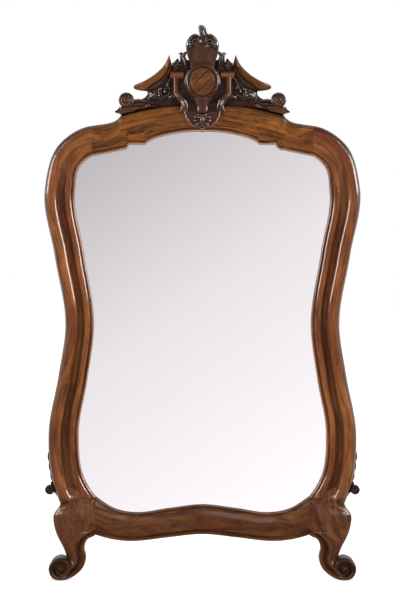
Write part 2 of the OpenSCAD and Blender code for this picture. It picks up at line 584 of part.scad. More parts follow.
// Foliage between each wing and the arch: leaves that spring from the stem and curl up under the wing
module foliage() {
    under_wing = [for (u = [1.3:0.25:2.8]) curve(wing_lower, u) - [1, crest_z + 1.2]];
    over_stem = [for (x = [164:-6:134]) [x, stem_top(x) - crest_z + 1]];
    color(dark_walnut) union() {
        board(ground_front, ground_front + 4) polygon(on_crest(concat([[90.5, 1], [90.5, 68], [94.5, 69], [94.5, 92]],
            under_wing, [[161, 37], [160, 29], [162, 20]], over_stem, [[stem_half - 1, 1]])));
        for (q = [[102, 14, 88, 50, 20, 15, 8], [114, 8, 66, 42, 20, 17, 18], [128, 12, 44, 34, 18, 16, -15],
            [138, 16, 14, 22, 13, 12, 10], [127, 12, 168, 30, 16, 13, -20]])
            leaf([q[0], crest_z + q[1]], q[2], q[3], q[4], q[5], q[6]);
        for (q = [[112, 34, 6], [126, 40, 6], [142, 26, 5]]) drum(q[0], crest_z + q[1], q[2], ground_front, ground_front + 12);
    }
}

// Rosettes beside the neck of the cartouche
module rosette() {
    centre = [body_half + 22, crest_z + neck_up - 8];
    color(dark_walnut) union() {
        drum(centre[0], centre[1], 11, ground_front, ground_front + 8);
        for (i = [0:4]) drum(centre[0] + 9 * cos(72 * i + 18), centre[1] + 9 * sin(72 * i + 18), 6.5,
            ground_front, ground_front + 14);
        drum(centre[0], centre[1], 4.5, ground_front, ground_front + 19);
    }
}

// Brackets: a shoulder bar, a strap down beside the oval, and an S-curved foot in front of the arch
bracket_front = 66;
module bracket() {
    inner = body_half + seat;
    outer_edge = [[89, 26], [82, 14], [72, 4], [64.5, -10], [70, -28]];
    inner_edge = [[72, 28], [64, 19], [52, 7], [45, -10], [45, -28]];
    us = [for (i = [0:16]) i / 4];
    color(walnut) union() {
        board(ground_front, bracket_front) polygon(on_crest([[74, 18], [87, 18], [87, 70], [93, 72], [93, 93],
            [inner, 93], [inner, 73], [74, 71]]));
        board(ground_front, bracket_front) polygon(concat([for (u = us) if (u <= 1.5) curve(on_crest(outer_edge), u)],
            [for (u = backwards(us)) if (u <= 1) curve(on_crest(inner_edge), u)]));
        board(overlay, overlay + 12) polygon(concat([for (u = us) curve(on_crest(outer_edge), u)],
            [for (u = backwards(us)) curve(on_crest(inner_edge), u)]));
    }
}

// Cartouche: the body behind the oval, its neck, its ears and the tongue that laps over the arch
module cartouche() {
    side = [for (a = [-62:8:50]) [body_half * cos(a), boss_up + (ring_half_h + 5) * sin(a)]];
    neck = [for (q = [[0.70, 0], [0.80, 0.29], [0.87, 0.58], [0.93, 1], [0, 1]])
        [q[0] * body_half, mix(neck_up, head_up, q[1])]];
    panel = [for (q = [[0, 0], [0.41, 0], [0.48, 0.25], [0.59, 0.6], [0.63, 1], [0, 1]])
        [q[0] * body_half, mix(neck_up - 2, head_up, q[1])]];
    ear = [[-11, -10], [3, -8], [6, 6], [9, 18], [16, 22], [17, 27], [10, 31], [0, 30], [-9, 31], [-9, 24],
        [-4.5, 20], [-4.5, 9], [-11, 4]];
    half = concat([[0, seat]], [[22, seat]], side, neck);
    color(walnut) union() {
        board(ground_front, body_front) polygon(on_crest(both_halves(half)));
        board(body_front - 1, body_front + 4) polygon(on_crest(both_halves(panel)));
        board(overlay, cartouche_d + 2) polygon(on_crest(both_halves([[0, -34], [15, -34], [16.5, -26], [15, -6],
            [19, 4], [26, 11], [0, 11]])));
        for (s = [-1, 1]) board(ground_front + 6, body_front - 8)
            polygon([for (q = ear) [s * (body_half + q[0]), crest_z + neck_up + q[1]]]);
    }
}

// Head of the cartouche: two scrolls that curl in under the finial
module cartouche_head() {
    scroll_up = head_up + head_scroll_r + 0.5;
    color(dark_walnut) union() {
        board(ground_front + 4, body_front) polygon(on_crest(both_halves([[0, head_up], [50, head_up],
            [49, head_up + 9], [45, scroll_up + 1], [36, scroll_up + 11], [25, scroll_up + 17.5], [17, scroll_up + 16],
            [13, scroll_up + 8], [0, scroll_up + 8]])));
        for (side = [-1, 1]) {
            drum(side * 28, crest_z + scroll_up, head_scroll_r, ground_front + 4, body_front + 4);
            drum(side * 28, crest_z + scroll_up, head_scroll_r * 0.4, body_front + 3, body_front + 9);
        }
        board(body_front - 1, body_front + 6) polygon(on_crest(both_halves([[0, head_up + 2], [6, head_up + 8],
            [9, head_up + 18], [7, scroll_up + 8], [0, scroll_up + 8]])));
    }
}

// Finial: a flame leaf that leans to the left
module finial() {
    base_up = head_up + head_scroll_r + 9;
    tall = crest_h - base_up;
    path = [[1, 0], [2, 0.35], [0, 0.7], [-6, 1]];
    color(dark_walnut) loft([for (i = [0:8]) let (u = i * 3 / 8, c = curve(path, u), t = i / 8,
        r = 12 * (0.68 + 1.5 * t) * pow(1 - t, 0.6) + 1.5)
        [for (a = [0:40:320]) [c[0] + r * cos(a), -mix(body_front - 12, body_front - 8, t) + 0.8 * r * sin(a),
            crest_z + base_up + i / 8 * tall]]]);
}

// Oval ring and the plain banded boss inside it
module oval_ring() {
    color(walnut) loft([for (a = [352.5:-7.5:0])
        [for (q = [[1, 0], [1, 4], [0.7, 8], [0.3, 8], [0, 4], [0, 0]])
            [(ring_half_w - ring_band * (1 - q[0])) * cos(a), -body_front - q[1],
            boss_z + (ring_half_h - ring_band * (1 - q[0])) * sin(a)]]], closed = true);
}
module boss_dome(r) {
    translate([0, -body_front + 57, boss_z]) sphere(r = r, $fn = 96);
}
module oval_boss() {
    color(figured) union() {
        board(body_front, body_front + 3) polygon([for (a = [0:7.5:352.5]) [boss_w * cos(a), boss_z + boss_h * sin(a)]]);
        intersection() {
            boss_dome(60 + boss_rise);
            board(body_front + 2, body_front + 20) translate([-boss_w, boss_z - boss_h]) square([2 * boss_w, 2 * boss_h]);
        }
        intersection() {
            boss_dome(62 + boss_rise);
            board(body_front + 2, body_front + 20) translate([0, boss_z]) rotate(47)
                square([1.7 * boss_w, 15], center = true);
        }
    }
}

// Pendant: a shell drop in a bowl strap, planted on the front of the arch
module pendant() {
    bowl = [for (a = [-12:-8:-68]) a];
    color(dark_walnut) union() {
        for (s = [-1, 1]) board(overlay, overlay + 10) polygon(concat([for (a = bowl) [s * 58 * cos(a), crest_z - 22 + 58 * sin(a)]],
            [for (a = backwards(bowl)) [s * 50 * cos(a), crest_z - 22 + 50 * sin(a)]]));
        board(overlay, overlay + 8) polygon(on_crest(both_halves([[0, -36], [27, -42], [29, -54], [24, -66], [16, -72],
            [6, -77], [0, -78]])));
        for (s = [-1, 1]) drum(s * 24, crest_z - 53, 8, overlay, overlay + 12);
    }
}

// Glue blocks in the corner behind the ground board
module crest_blocks() {
    color(pine) for (x = [-100, -20, 20, 100]) let (lean = atan((rail_top(abs(x) + 10) - rail_top(abs(x) - 10)) / 20))
        translate([x, -ground_back, rail_top(abs(x)) + 1]) rotate([0, -sign(x) * lean, 0])
            translate([-14, 0, 0]) cube([28, ground_back - 2, 12]);
}

// Mirror plate, its blocks in the rebate, and the back boards
module mirror_plate() {
    color(silvered) board(rebate_d - plate_t, rebate_d) offset(r = plate_lap, $fn = 24) polygon(opening);
}
module glazing_block(p, turn) {
    wide = rebate_w - 4;
    translate([p[0], 0, p[1]]) rotate([0, -turn, 0]) translate([-18, -(rebate_d - plate_t), 2])
        cube([36, rebate_d - plate_t - 2, wide]);
}
module glazing_blocks() {
    color(pine) {
        for (u = [2.2, 3.3, 4.5, 5.6, 6.5]) let (t = sight_way(u), a = atan2(t[1], t[0])) {
            glazing_block(sight(u), a);
            other_side() glazing_block(sight(u), a);
        }
        for (x = [-60, 60]) glazing_block([x, sight_top(abs(x))], -sign(x) * 5);
        for (x = [-199, 199]) glazing_block([x, fillet_z], 0);
        for (x = [-190, -60, 60, 190]) let (lean = atan((bottom_sight(abs(x + 5)) - bottom_sight(abs(x - 5))) / 10))
            glazing_block([x, bottom_sight(abs(x))], 180 + lean);
    }
}
module backboard(from_x, to_x) {
    color(pine) difference() {
        board(-board_t, 0) intersection() {
            offset(r = board_lap, $fn = 24) polygon(opening);
            translate([from_x, 0]) square([to_x - from_x, tip_z]);
        }
        back_screws(dowel_clear);
        other_side() back_screws(dowel_clear);
    }
}
module back_screws(grow = 0) {
    screws(stile_screws, board_t, grow);
    screws(top_screws, board_t, grow);
    screws(bottom_screws, board_t, grow);
}
board_third = (shoulder_half + board_lap) / 3;

// Hangers: a steel strap whose rolled end holds a round-ended ring
module hanger() {
    color(steel) difference() {
        union() {
            board(-strap_t, 0) translate([hang_x - strap_w / 2, hang_z + 1]) square([strap_w, strap_len - 1]);
            translate([hang_x - strap_w / 2, 0.7, hang_z]) cube([strap_w, -hinge_d - 0.7, knuckle_r]);
            translate([hang_x, -hinge_d, hang_z]) rotate([0, 90, 0])
                cylinder(r = knuckle_r, h = strap_w, center = true, $fn = 64);
        }
        translate([hang_x, -hinge_d, hang_z]) rotate([0, 90, 0])
            cylinder(r = wire_r + hinge_clear, h = strap_w + 2, center = true, $fn = 64);
        screws(strap_screws, strap_t, dowel_clear);
    }
}
module ring() {
    color(brass) translate([hang_x, -hinge_d, hang_z]) union() {
        rotate([0, 90, 0]) cylinder(r = wire_r, h = 2 * hang_r, center = true, $fn = 64);
        for (side = [-1, 1]) translate([side * hang_r, 0, 0]) {
            sphere(r = wire_r, $fn = 64);
            translate([0, 0, -ring_leg]) cylinder(r = wire_r, h = ring_leg, $fn = 64);
        }
        translate([0, 0, -ring_leg]) rotate([90, 0, 0]) rotate_extrude(angle = 180, start = 180, $fn = 96)
            translate([hang_r, 0]) circle(r = wire_r, $fn = 64);
    }
}

module both() { children(); other_side() children(); }
place() stile();  // stile_right
place() other_side() stile();  // stile_left
place() top_rail();
place() bottom_rail();
place() foot();  // foot_right
place() other_side() foot();  // foot_left
place() side_scroll();  // side_scroll_right
place() other_side() side_scroll();  // side_scroll_left
place() crest_ground();
place() wing();  // wing_right
place() other_side() wing();  // wing_left
place() end_volute();  // end_volute_right
place() other_side() end_volute();  // end_volute_left
place() foliage();  // foliage_right
place() other_side() foliage();  // foliage_left
place() rosette();  // rosette_right
place() other_side() rosette();  // rosette_left
place() bracket();  // bracket_right
place() other_side() bracket();  // bracket_left
place() cartouche();
place() cartouche_head();
place() oval_ring();
place() oval_boss();
place() finial();
place() pendant();
place() crest_blocks();
place() color(pine) crest_pegs();  // dowels_crest
place() color(pine) both() shoulder_pegs();  // dowels_shoulder
place() color(pine) both() bottom_pegs();  // dowels_bottom_rail
place() color(pine) both() foot_pegs();  // dowels_foot
place() mirror_plate();
place() glazing_blocks();
place() backboard(-3 * board_third - 40, -board_third - board_gap / 2);  // backboard_left
place() backboard(-board_third + board_gap / 2, board_third - board_gap / 2);  // backboard_middle
place() backboard(board_third + board_gap / 2, 3 * board_third + 40);  // backboard_right
place() color(steel) both() back_screws();  // backboard_screws
place() hanger();  // hanger_right
place() other_side() hanger();  // hanger_left
place() color(steel) both() screws(strap_screws, strap_t);  // hanger_screws
place() ring();  // ring_right
place() other_side() ring();  // ring_left
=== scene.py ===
"""Finer wood, glass and metal for a carved walnut mirror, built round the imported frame.

Sizes are in millimetres until a mesh is made. A point is [x, depth, z]: x counts from the centre line,
depth counts forward from the plane of the frame's back, and z counts up from the floor.
"""

import logging
import math
from dataclasses import dataclass, field
from enum import Enum
from typing import Any, Callable, Sequence

import bpy
import numpy as np
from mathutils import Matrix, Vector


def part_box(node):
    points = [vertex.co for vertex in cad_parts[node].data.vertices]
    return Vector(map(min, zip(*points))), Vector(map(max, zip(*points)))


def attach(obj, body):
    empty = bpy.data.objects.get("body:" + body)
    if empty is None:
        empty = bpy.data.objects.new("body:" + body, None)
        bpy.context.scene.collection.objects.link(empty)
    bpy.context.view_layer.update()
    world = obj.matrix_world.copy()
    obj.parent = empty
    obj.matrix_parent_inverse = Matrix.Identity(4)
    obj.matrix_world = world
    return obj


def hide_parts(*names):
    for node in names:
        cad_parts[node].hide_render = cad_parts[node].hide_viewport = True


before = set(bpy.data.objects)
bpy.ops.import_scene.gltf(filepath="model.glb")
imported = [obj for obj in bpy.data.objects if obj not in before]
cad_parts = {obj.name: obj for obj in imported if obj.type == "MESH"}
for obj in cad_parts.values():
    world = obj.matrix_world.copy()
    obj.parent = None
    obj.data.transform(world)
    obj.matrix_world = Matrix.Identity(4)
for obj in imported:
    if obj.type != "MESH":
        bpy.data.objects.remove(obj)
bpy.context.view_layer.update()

log = logging.getLogger("mirror")
Array = np.ndarray
Pair = Sequence[float]
Triple = tuple[float, float, float]
Radius = Callable[[Array], Array]
Face = Callable[[Array, Array], Array]

MM = 0.001
TINY = 1e-9
BACK_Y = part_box("stile_right")[1].y / MM
SEAT = 0.3
OTHER_PLANK = 870


class Slot(Enum):
    """Material slots of the record."""

    WALNUT = "walnut"
    FIGURED = "figured_walnut"
    DARK = "dark_walnut"
    PINE = "pine"
    GLASS = "mirror_glass"
    STEEL = "steel"
    BRASS = "brass"


class Side(Enum):
    """Side of the mirror that a piece is on."""

    LEFT = "left"
    RIGHT = "right"


# Numbers, directions and outlines
def mix(a: Any, b: Any, t: Any) -> Any:
    """Value between a and b at share t."""
    return a + (b - a) * t


def ease(v: Any) -> Any:
    """Smooth step from 0 to 1."""
    t = np.clip(v, 0, 1)
    return t * t * (3 - 2 * t)


def bump(v: Any, centre: float, width: float) -> Any:
    """Soft ridge of height 1 round a centre."""
    return np.exp(-(((v - centre) / width) ** 2))


def swell(v: Any, power: float) -> Any:
    """Rounded height, from 1 where v is 0 to 0 where it is -1 or 1; a higher power makes it squarer."""
    return np.clip(1 - np.abs(v) ** power, 0, 1) ** 0.5


def steps(start: float, end: float, count: int) -> Array:
    """Evenly spaced numbers, both ends included."""
    return np.linspace(start, end, count)


def turned(degrees: Any) -> Array:
    """Unit direction at an angle from +x towards +z."""
    a = np.radians(degrees)
    return np.stack([np.cos(a), np.sin(a)], -1)


def unit(ways: Array) -> Array:
    """Directions made one long."""
    return ways / (np.linalg.norm(ways, axis=-1, keepdims=True) + TINY)


def left_of(ways: Array) -> Array:
    """Directions a quarter turn to the left of [x, z] ones."""
    return np.stack([-ways[..., 1], ways[..., 0]], -1)


def laid(flat: Array, depth: Any) -> Array:
    """Points of [x, z] laid at one depth, or each at its own."""
    return np.insert(flat, 1, depth, 1)


def curve(knots: Any, us: Any, ends: Sequence[Pair] | None = None) -> Array:
    """Smooth curve through knots.

    Args:
        knots: The points, or other rows of numbers, that it passes.
        us: Places along it, where 1 is one stretch between two knots.
        ends: Directions at its two ends, or None for those of its end chords.

    Returns:
        One row for each place.
    """
    k = np.asarray(knots, float)
    u = np.atleast_1d(np.asarray(us, float))
    chords = np.linalg.norm(np.diff(k, axis=0), axis=1) + 1e-6
    heads = np.diff(k, axis=0) / chords[:, None]
    slopes = np.empty_like(k)
    slopes[0], slopes[-1] = heads[0], heads[-1]
    if ends is not None:
        slopes[0], slopes[-1] = (np.asarray(e) / np.linalg.norm(e) for e in ends)
    before, after = chords[:-1, None], chords[1:, None]
    slopes[1:-1] = (heads[1:] * before + heads[:-1] * after) / (before + after)
    i = np.minimum(u.astype(int), len(k) - 2)
    t, h = (u - i)[:, None], chords[i][:, None]
    return hermite(k[i], k[i + 1], slopes[i] * h, slopes[i + 1] * h, t)


def hermite(start: Any, end: Any, leave: Any, arrive: Any, t: Any) -> Any:
    """Value at share t of a stretch, from its end values and the slopes there.

    Args:
        start: Value at its start.
        end: Value at its end.
        leave: Slope at its start.
        arrive: Slope at its end.
        t: The share.

    Returns:
        The value.
    """
    rest = 1 - t
    return (start * rest * rest * (1 + 2 * t) + end * t * t * (3 - 2 * t)
            + leave * t * rest * rest - arrive * t * t * rest)


def smooth(knots: Any, per: int) -> Array:
    """Curve through knots with the given number of points to each stretch."""
    last = len(knots) - 1
    return curve(knots, steps(0, last, last * per + 1))


def height(knots: Sequence[Pair], xs: Any) -> Array:
    """Smooth height over x.

    Args:
        knots: Rows of [x, height] that it passes, level at the first one.
        xs: Places along x.

    Returns:
        The height at each place.
    """
    k = np.asarray(knots, float)
    x = np.atleast_1d(np.asarray(xs, float))
    rises = np.diff(k[:, 1]) / np.diff(k[:, 0])
    grades = np.zeros(len(k))
    grades[1:-1] = (rises[1:] + rises[:-1]) / 2
    grades[-1] = 1.5 * rises[-1] - 0.5 * grades[-2]
    i = np.clip(np.searchsorted(k[:, 0], x) - 1, 0, len(k) - 2)
    w = k[i + 1, 0] - k[i, 0]
    return hermite(k[i, 1], k[i + 1, 1], grades[i] * w, grades[i + 1] * w, (x - k[i, 0]) / w)


def grown(outline: Array, by: float) -> Array:
    """Closed outline moved outward.

    Args:
        outline: Rows of [x, z].
        by: The distance, inward where it is negative.

    Returns:
        The new outline, whose mitres are kept short.
    """
    ahead, behind = np.roll(outline, -1, 0), np.roll(outline, 1, 0)
    area = np.sum(outline[:, 0] * ahead[:, 1] - ahead[:, 0] * outline[:, 1])
    way = unit(outline - behind) + unit(ahead - outline)
    mitre = 2 / np.maximum(np.linalg.norm(way, axis=1)[:, None], 1.3)
    return outline - left_of(unit(way)) * mitre * by * np.sign(area)


def refined(outline: Array, parts: int) -> Array:
    """Closed outline with each of its sides cut into parts."""
    shares = steps(0, 1, parts + 1)[1:, None]
    return np.concatenate([mix(outline[i - 1], outline[i], shares) for i in range(len(outline))])


def both_halves(points: Any) -> Array:
    """Closed outline from its right half, listed from the centre line back to it.

    Args:
        points: Rows of [x, z] down the right half.

    Returns:
        Rows of [x, z] all round.
    """
    half = np.asarray(points, float)
    other = half[half[:, 0] > 0.01][::-1] * [-1, 1]
    return np.concatenate([half, other])


def backed(front: Array, w: float, back: float) -> Array:
    """Section of [distance, depth] closed by its two back corners."""
    return np.concatenate([[[0, back]], front, [[w, back]]])


def swept(sections: Sequence[tuple[Array, Array, Array]]) -> tuple[Array, Array]:
    """Rings and their grain.

    Args:
        sections: For each ring its start, its end and its section of [distance, depth] between them.

    Returns:
        The rings, and the grain that runs with them.
    """
    rings, grain, run, last = [], [], 0.0, None
    for start, end, section in sections:
        middle = (start + end) / 2
        run += 0 if last is None else float(np.linalg.norm(middle - last))
        last = middle
        rings.append(laid(start + section[:, :1] * unit(end - start), section[:, 1]))
        grain.append(np.insert(section, 0, run, 1))
    return np.array(rings), np.array(grain)


def straight_grain(places: Array, turn: float) -> Array:
    """Grain of [along, across, out] that runs straight, at an angle in degrees from +x.

    Args:
        places: Rows of [x, out, z].
        turn: The angle.

    Returns:
        A row for each place.
    """
    (ax, az), (bx, bz) = turned(turn), turned(turn + 90)
    x, out, z = places.T
    return np.stack([x * ax + z * az, x * bx + z * bz, out], -1)


# Carved faces: each gives the depth over the share of the radius and the angle in degrees
def round_of(radius: float) -> Radius:
    """A radius that is the same all round."""
    return lambda angle: np.full(len(angle), radius)


def level(depth: float) -> Face:
    """A flat face."""
    return lambda share, angle: np.full(len(share), float(depth))


def domed(edge: float, rise: float) -> Face:
    """A face that rises from its edge to its centre."""
    return lambda share, angle: edge + rise * swell(share, 2)


def volute_face(front: float, relief: float, turns: float, hand: int, start: float,
                eye: float = 0.26) -> Face:
    """A spiral carving.

    Args:
        front: Depth of the highest part of its band.
        relief: Depth of the groove between the turns.
        turns: Turns of the band from the eye to the edge.
        hand: 1 winds one way and -1 the other.
        start: Angle at which the groove meets the edge.
        eye: Share of the radius that the eye takes.

    Returns:
        The face.
    """
    def face(share: Array, angle: Array) -> Array:
        """Depth at a place.

        Args:
            share: Share of the radius.
            angle: Angle in degrees.

        Returns:
            The depth at each.
        """
        phase = (share - eye) / (1 - eye) * turns + hand * (angle - start) / 360
        groove = np.abs(2 * (phase - np.floor(phase)) - 1) ** 5
        band = front - relief * groove - 0.35 * relief * (1 - share)
        edge = front - relief * 0.9 * np.clip((share - 0.86) / 0.14, 0, 1) ** 2
        dome = front + 0.15 * relief - 0.8 * relief * (share / eye) ** 4
        return np.minimum(mix(dome, band, ease((share - eye * 0.92) / (eye * 0.16))), edge)

    return face


@dataclass
class Form:
    """Closed shells that become one piece of the scene."""

    corners: list[Array] = field(default_factory=list)
    grains: list[Array] = field(default_factory=list)
    tones: list[Array] = field(default_factory=list)
    faces: list[tuple[int, ...]] = field(default_factory=list)
    tone: float = 0

    def loft(self, rings: Array, grain: Array | None = None, turn: float = 0, closed: bool = False,
             tones: Array | None = None) -> "Form":
        """Adds a shell through rings of points.

        Args:
            rings: Array of rings, points and [x, depth, z].
            grain: The same array of [along, across, out] in the wood, or None to lay the grain straight.
            turn: Direction of straight grain in degrees from +x.
            closed: True where the last ring joins the first.
            tones: Darkening of each point, or None for the form's own.

        Returns:
            This form.
        """
        n, m, _ = rings.shape
        flat = rings.reshape(-1, 3)
        rows, cols = np.arange(n if closed else n - 1)[:, None] * m, np.arange(m)[None, :]
        next_row, next_col = (rows + m) % (n * m), (cols + 1) % m
        corners = [rows + cols, rows + next_col, next_row + next_col, next_row + cols]
        quads = np.stack(corners, -1).reshape(-1, 4)
        caps = [] if closed else [np.arange(m)[::-1], np.arange(m) + (n - 1) * m]
        way = 1 if faces_out(flat, [quads, *(cap[None] for cap in caps)]) else -1
        start = sum(len(c) for c in self.corners)
        self.faces += [tuple(sheet[::way] + start) for sheet in [*quads, *caps]]
        self.corners.append(flat)
        self.grains.append(straight_grain(flat, turn) if grain is None else grain.reshape(-1, 3))
        self.tones.append(np.full(len(flat), self.tone) if tones is None else np.ravel(tones))
        return self

    def sweep(self, sections: Sequence[tuple[Array, Array, Array]], tones: Any = None) -> "Form":
        """Adds a shell through sections, as swept takes them."""
        rings, grain = swept(sections)
        return self.loft(rings, grain, tones=tones)

    def toned(self, tone: float) -> "Form":
        """Darkens the shells that follow, from 0 for none to 1, in places as painted shade; below 0 they are
        paled as a painted highlight.
        """
        self.tone = tone
        return self

    def plaque(self, outline: Array, back: float, front: float, rounding: float, turn: float = 0) -> "Form":
        """Adds a board with rounded front edges.

        Args:
            outline: Its closed outline of [x, z].
            back: Depth of its back.
            front: Depth of its front.
            rounding: Radius of its front edges.
            turn: Direction of the grain.

        Returns:
            This form.
        """
        rings = [laid(outline, back), laid(outline, front - rounding)]
        for across, out in turned((18, 36, 54, 72, 90)):
            rings.append(laid(grown(outline, -rounding * (1 - across)), front - rounding * (1 - out)))
        for margin in (0.42, 0.84, 1.2):
            rings.append(laid(grown(outline, -rounding - margin), front))
        return self.loft(np.array(rings), turn=turn)

    def button(self, centre: Pair, radius: Radius, face: Face, back: float, around: int, across: int,
               turn: float = 0) -> "Form":
        """Adds a round carving.

        Args:
            centre: Its [x, z].
            radius: Its radius over the angle in degrees.
            face: Depth of its front over the share of the radius and the angle.
            back: Depth of its flat back.
            around: Points round it.
            across: Rings from its edge to its centre.
            turn: Direction of the grain.

        Returns:
            This form.
        """
        angles = steps(0, 360, around + 1)[:-1]
        spread = radius(angles)[:, None] * turned(angles)
        rings = [laid(centre + spread, back)]
        for share in [*(1 - steps(0, 1, across + 1)[:-1] ** 1.2), 0.01]:
            rings.append(laid(centre + share * spread, face(np.full(around, share), angles)))
        return self.loft(np.array(rings), turn=turn)

    def tube(self, path: Array, radii: Array, flat: float = 1, around: int = 20, lobes: int = 0,
             carve: float = 0, twist: float = 0, rows: float = 0) -> "Form":
        """Adds a tapered limb along a path.

        Args:
            path: Rows of [x, depth, z].
            radii: Radius at each row.
            flat: Share of the radius that it has in depth.
            around: Points round it.
            lobes: Number of flutes round it.
            carve: Depth of the flutes as a share of the radius.
            twist: Turn of the flutes along the path in degrees.
            rows: Rows of scales along the path that break the flutes.

        Returns:
            This form.
        """
        way = unit(np.gradient(path, axis=0))
        side = unit(np.cross(way, [0, 1, 0]))
        over = np.cross(side, way)
        a = np.radians(steps(0, 360, around + 1)[:-1])
        t = steps(0, 1, len(path))[:, None]
        scales = 0.55 + 0.45 * np.cos(np.pi * rows * t) ** 2
        flutes = (0.5 - 0.5 * np.cos(lobes * (a + math.radians(twist) * t))) * scales
        r = radii[:, None, None] * (1 - carve * flutes)[:, :, None]
        spokes = np.cos(a)[:, None] * side[:, None] + flat * np.sin(a)[:, None] * over[:, None]
        run = np.concatenate([[0], np.cumsum(np.linalg.norm(np.diff(path, axis=0), axis=1))])
        grain = np.broadcast_arrays(run[:, None], radii[:, None] * np.cos(a), radii[:, None] * np.sin(a))
        return self.loft(path[:, None] + r * spokes, np.stack(grain, -1))

    def limb(self, knots: Any, radii: Sequence[float], per: int, *shape: float) -> "Form":
        """Adds a tube on a smooth path through knots, from the radius at each and the tube's other values."""
        wide = smooth([[r] for r in radii], per)[:, 0]
        return self.tube(smooth(knots, per), wide, *shape)

    def mirrored(self) -> "Form":
        """The same form on the other side of the centre line, from another length of the wood.

        Returns:
            A new form.
        """
        corners = [c * [-1, 1, 1] for c in self.corners]
        grains = [g + [OTHER_PLANK, 0, 0] for g in self.grains]
        return Form(corners, grains, self.tones, [face[::-1] for face in self.faces])

    def make(self, name: str, finish: "Finish", *nodes: str, slot: Slot, sharp: float = 38, fuse: float = 0,
             grain_turn: float = 0) -> bpy.types.Object:
        """Makes the piece.

        Args:
            name: Name of the piece.
            finish: Its finish.
            nodes: Nodes of the frame that it stands for.
            slot: Material slot of the record; not used.
            sharp: Angle in degrees over which an edge stays crisp.
            fuse: Width of the cells that fuse its shells to one skin, or 0 to leave them.
            grain_turn: Direction of the grain of a fused piece.

        Returns:
            The new object.
        """
        flat = np.concatenate(self.corners)
        world = np.stack([flat[:, 0], BACK_Y - flat[:, 1], flat[:, 2]], -1) * MM
        mesh = bpy.data.meshes.new(name)
        mesh.from_pydata(world.tolist(), [], self.faces)
        piece = bpy.data.objects.new(name, mesh)
        bpy.context.scene.collection.objects.link(piece)
        grain, tone = np.concatenate(self.grains), np.concatenate(self.tones)
        if fuse:
            fused(piece, fuse * MM)
            grain = straight_grain(points_of(piece.data) / MM, grain_turn)
            tone = np.full(len(grain), tone.mean())
        mesh = piece.data
        mesh.shade_smooth()
        mesh.set_sharp_from_angle(angle=math.radians(sharp))
        store(mesh, "grain", "FLOAT_VECTOR", "vector", grain * MM)
        store(mesh, "hollow", "FLOAT", "value", hollows(mesh))
        store(mesh, "tone", "FLOAT", "value", tone)
        mesh.materials.append(finish.material())
        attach(piece, "frame")
        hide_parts(*nodes)
        log.info("%s: %d faces", name, len(mesh.polygons))
        return piece

    def make_pair(self, name: str, finish: "Finish", node: str, slot: Slot, **extra: float) -> None:
        """Makes a piece on each side from the right one's form, with make's other values in extra.

        Args:
            name: Name of the piece, before its side.
            finish: Its finish.
            node: The node that it stands for, before its side.
            slot: Material slot of the record.
            extra: Other values that make takes.
        """
        for side in Side:
            form = self if side is Side.RIGHT else self.mirrored()
            form.make(f"{name}_{side.value}", finish, f"{node}_{side.value}", slot=slot, **extra)


# Meshes
def faces_out(places: Array, blocks: Sequence[Array]) -> bool:
    """Whether a closed shell's faces wind so that they face outward.

    Args:
        places: Its points of [x, depth, z].
        blocks: Its faces, in arrays of faces with the same number of corners.

    Returns:
        True where the shell holds a positive volume.
    """
    world = places * [1, -1, 1]
    world = world - world.mean(0)
    volume = 0.0
    for block in blocks:
        for j in range(1, block.shape[1] - 1):
            volume += np.sum(world[block[:, 0]] * np.cross(world[block[:, j]], world[block[:, j + 1]]))
    return volume > 0


def points_of(mesh: bpy.types.Mesh) -> Array:
    """Corners of a mesh in metres.

    Args:
        mesh: The mesh.

    Returns:
        Rows of [x, y, z].
    """
    found = np.empty(len(mesh.vertices) * 3)
    mesh.vertices.foreach_get("co", found)
    return found.reshape(-1, 3)


def store(mesh: bpy.types.Mesh, name: str, kind: str, key: str, values: Array) -> None:
    """Keeps values on a mesh's corners for its finish to read."""
    kept = mesh.attributes.new(name, kind, "POINT").data
    kept.foreach_set(key, np.ascontiguousarray(values, np.float32).ravel())


def neighbours(mesh: bpy.types.Mesh) -> Callable[[Array], Array]:
    """A way to average over the neighbours of each corner.

    Args:
        mesh: The mesh, whose edges join the neighbours.

    Returns:
        A function that takes and gives a row for each corner.
    """
    pairs = np.empty(len(mesh.edges) * 2, np.int32)
    mesh.edges.foreach_get("vertices", pairs)
    a, b = pairs.reshape(-1, 2).T
    total = len(mesh.vertices)
    links = np.maximum(np.bincount(a, minlength=total) + np.bincount(b, minlength=total), 1)

    def average(values: Array) -> Array:
        """Mean over each corner's neighbours.

        Args:
            values: A row for each corner.

        Returns:
            A row for each corner.
        """
        out = np.empty_like(values)
        for j in range(values.shape[1]):
            out[:, j] = np.bincount(a, values[b, j], total) + np.bincount(b, values[a, j], total)
        return out / links[:, None]

    return average


def hollows(mesh: bpy.types.Mesh, reach: float = 2.5, passes: int = 3) -> Array:
    """How each corner lies: below 0 in a groove and over 0 on an edge.

    Args:
        mesh: The mesh.
        reach: Radius in millimetres of a bend that counts fully.
        passes: Times that the result is spread to the neighbours.

    Returns:
        A number from -1 to 1 for each corner.
    """
    places = points_of(mesh) / MM
    normals = np.empty(len(places) * 3)
    mesh.vertex_normals.foreach_get("vector", normals)
    average = neighbours(mesh)
    middle, square = average(places), np.sum(places ** 2, 1)
    spread = average(square[:, None])[:, 0] - 2 * np.sum(places * middle, 1) + square
    rise = np.sum((places - middle) * normals.reshape(-1, 3), 1)
    found = np.tanh(2 * rise / np.maximum(spread, 0.05) * reach)[:, None]
    for _ in range(passes):
        found = 0.5 * found + 0.5 * average(found)
    return found[:, 0]


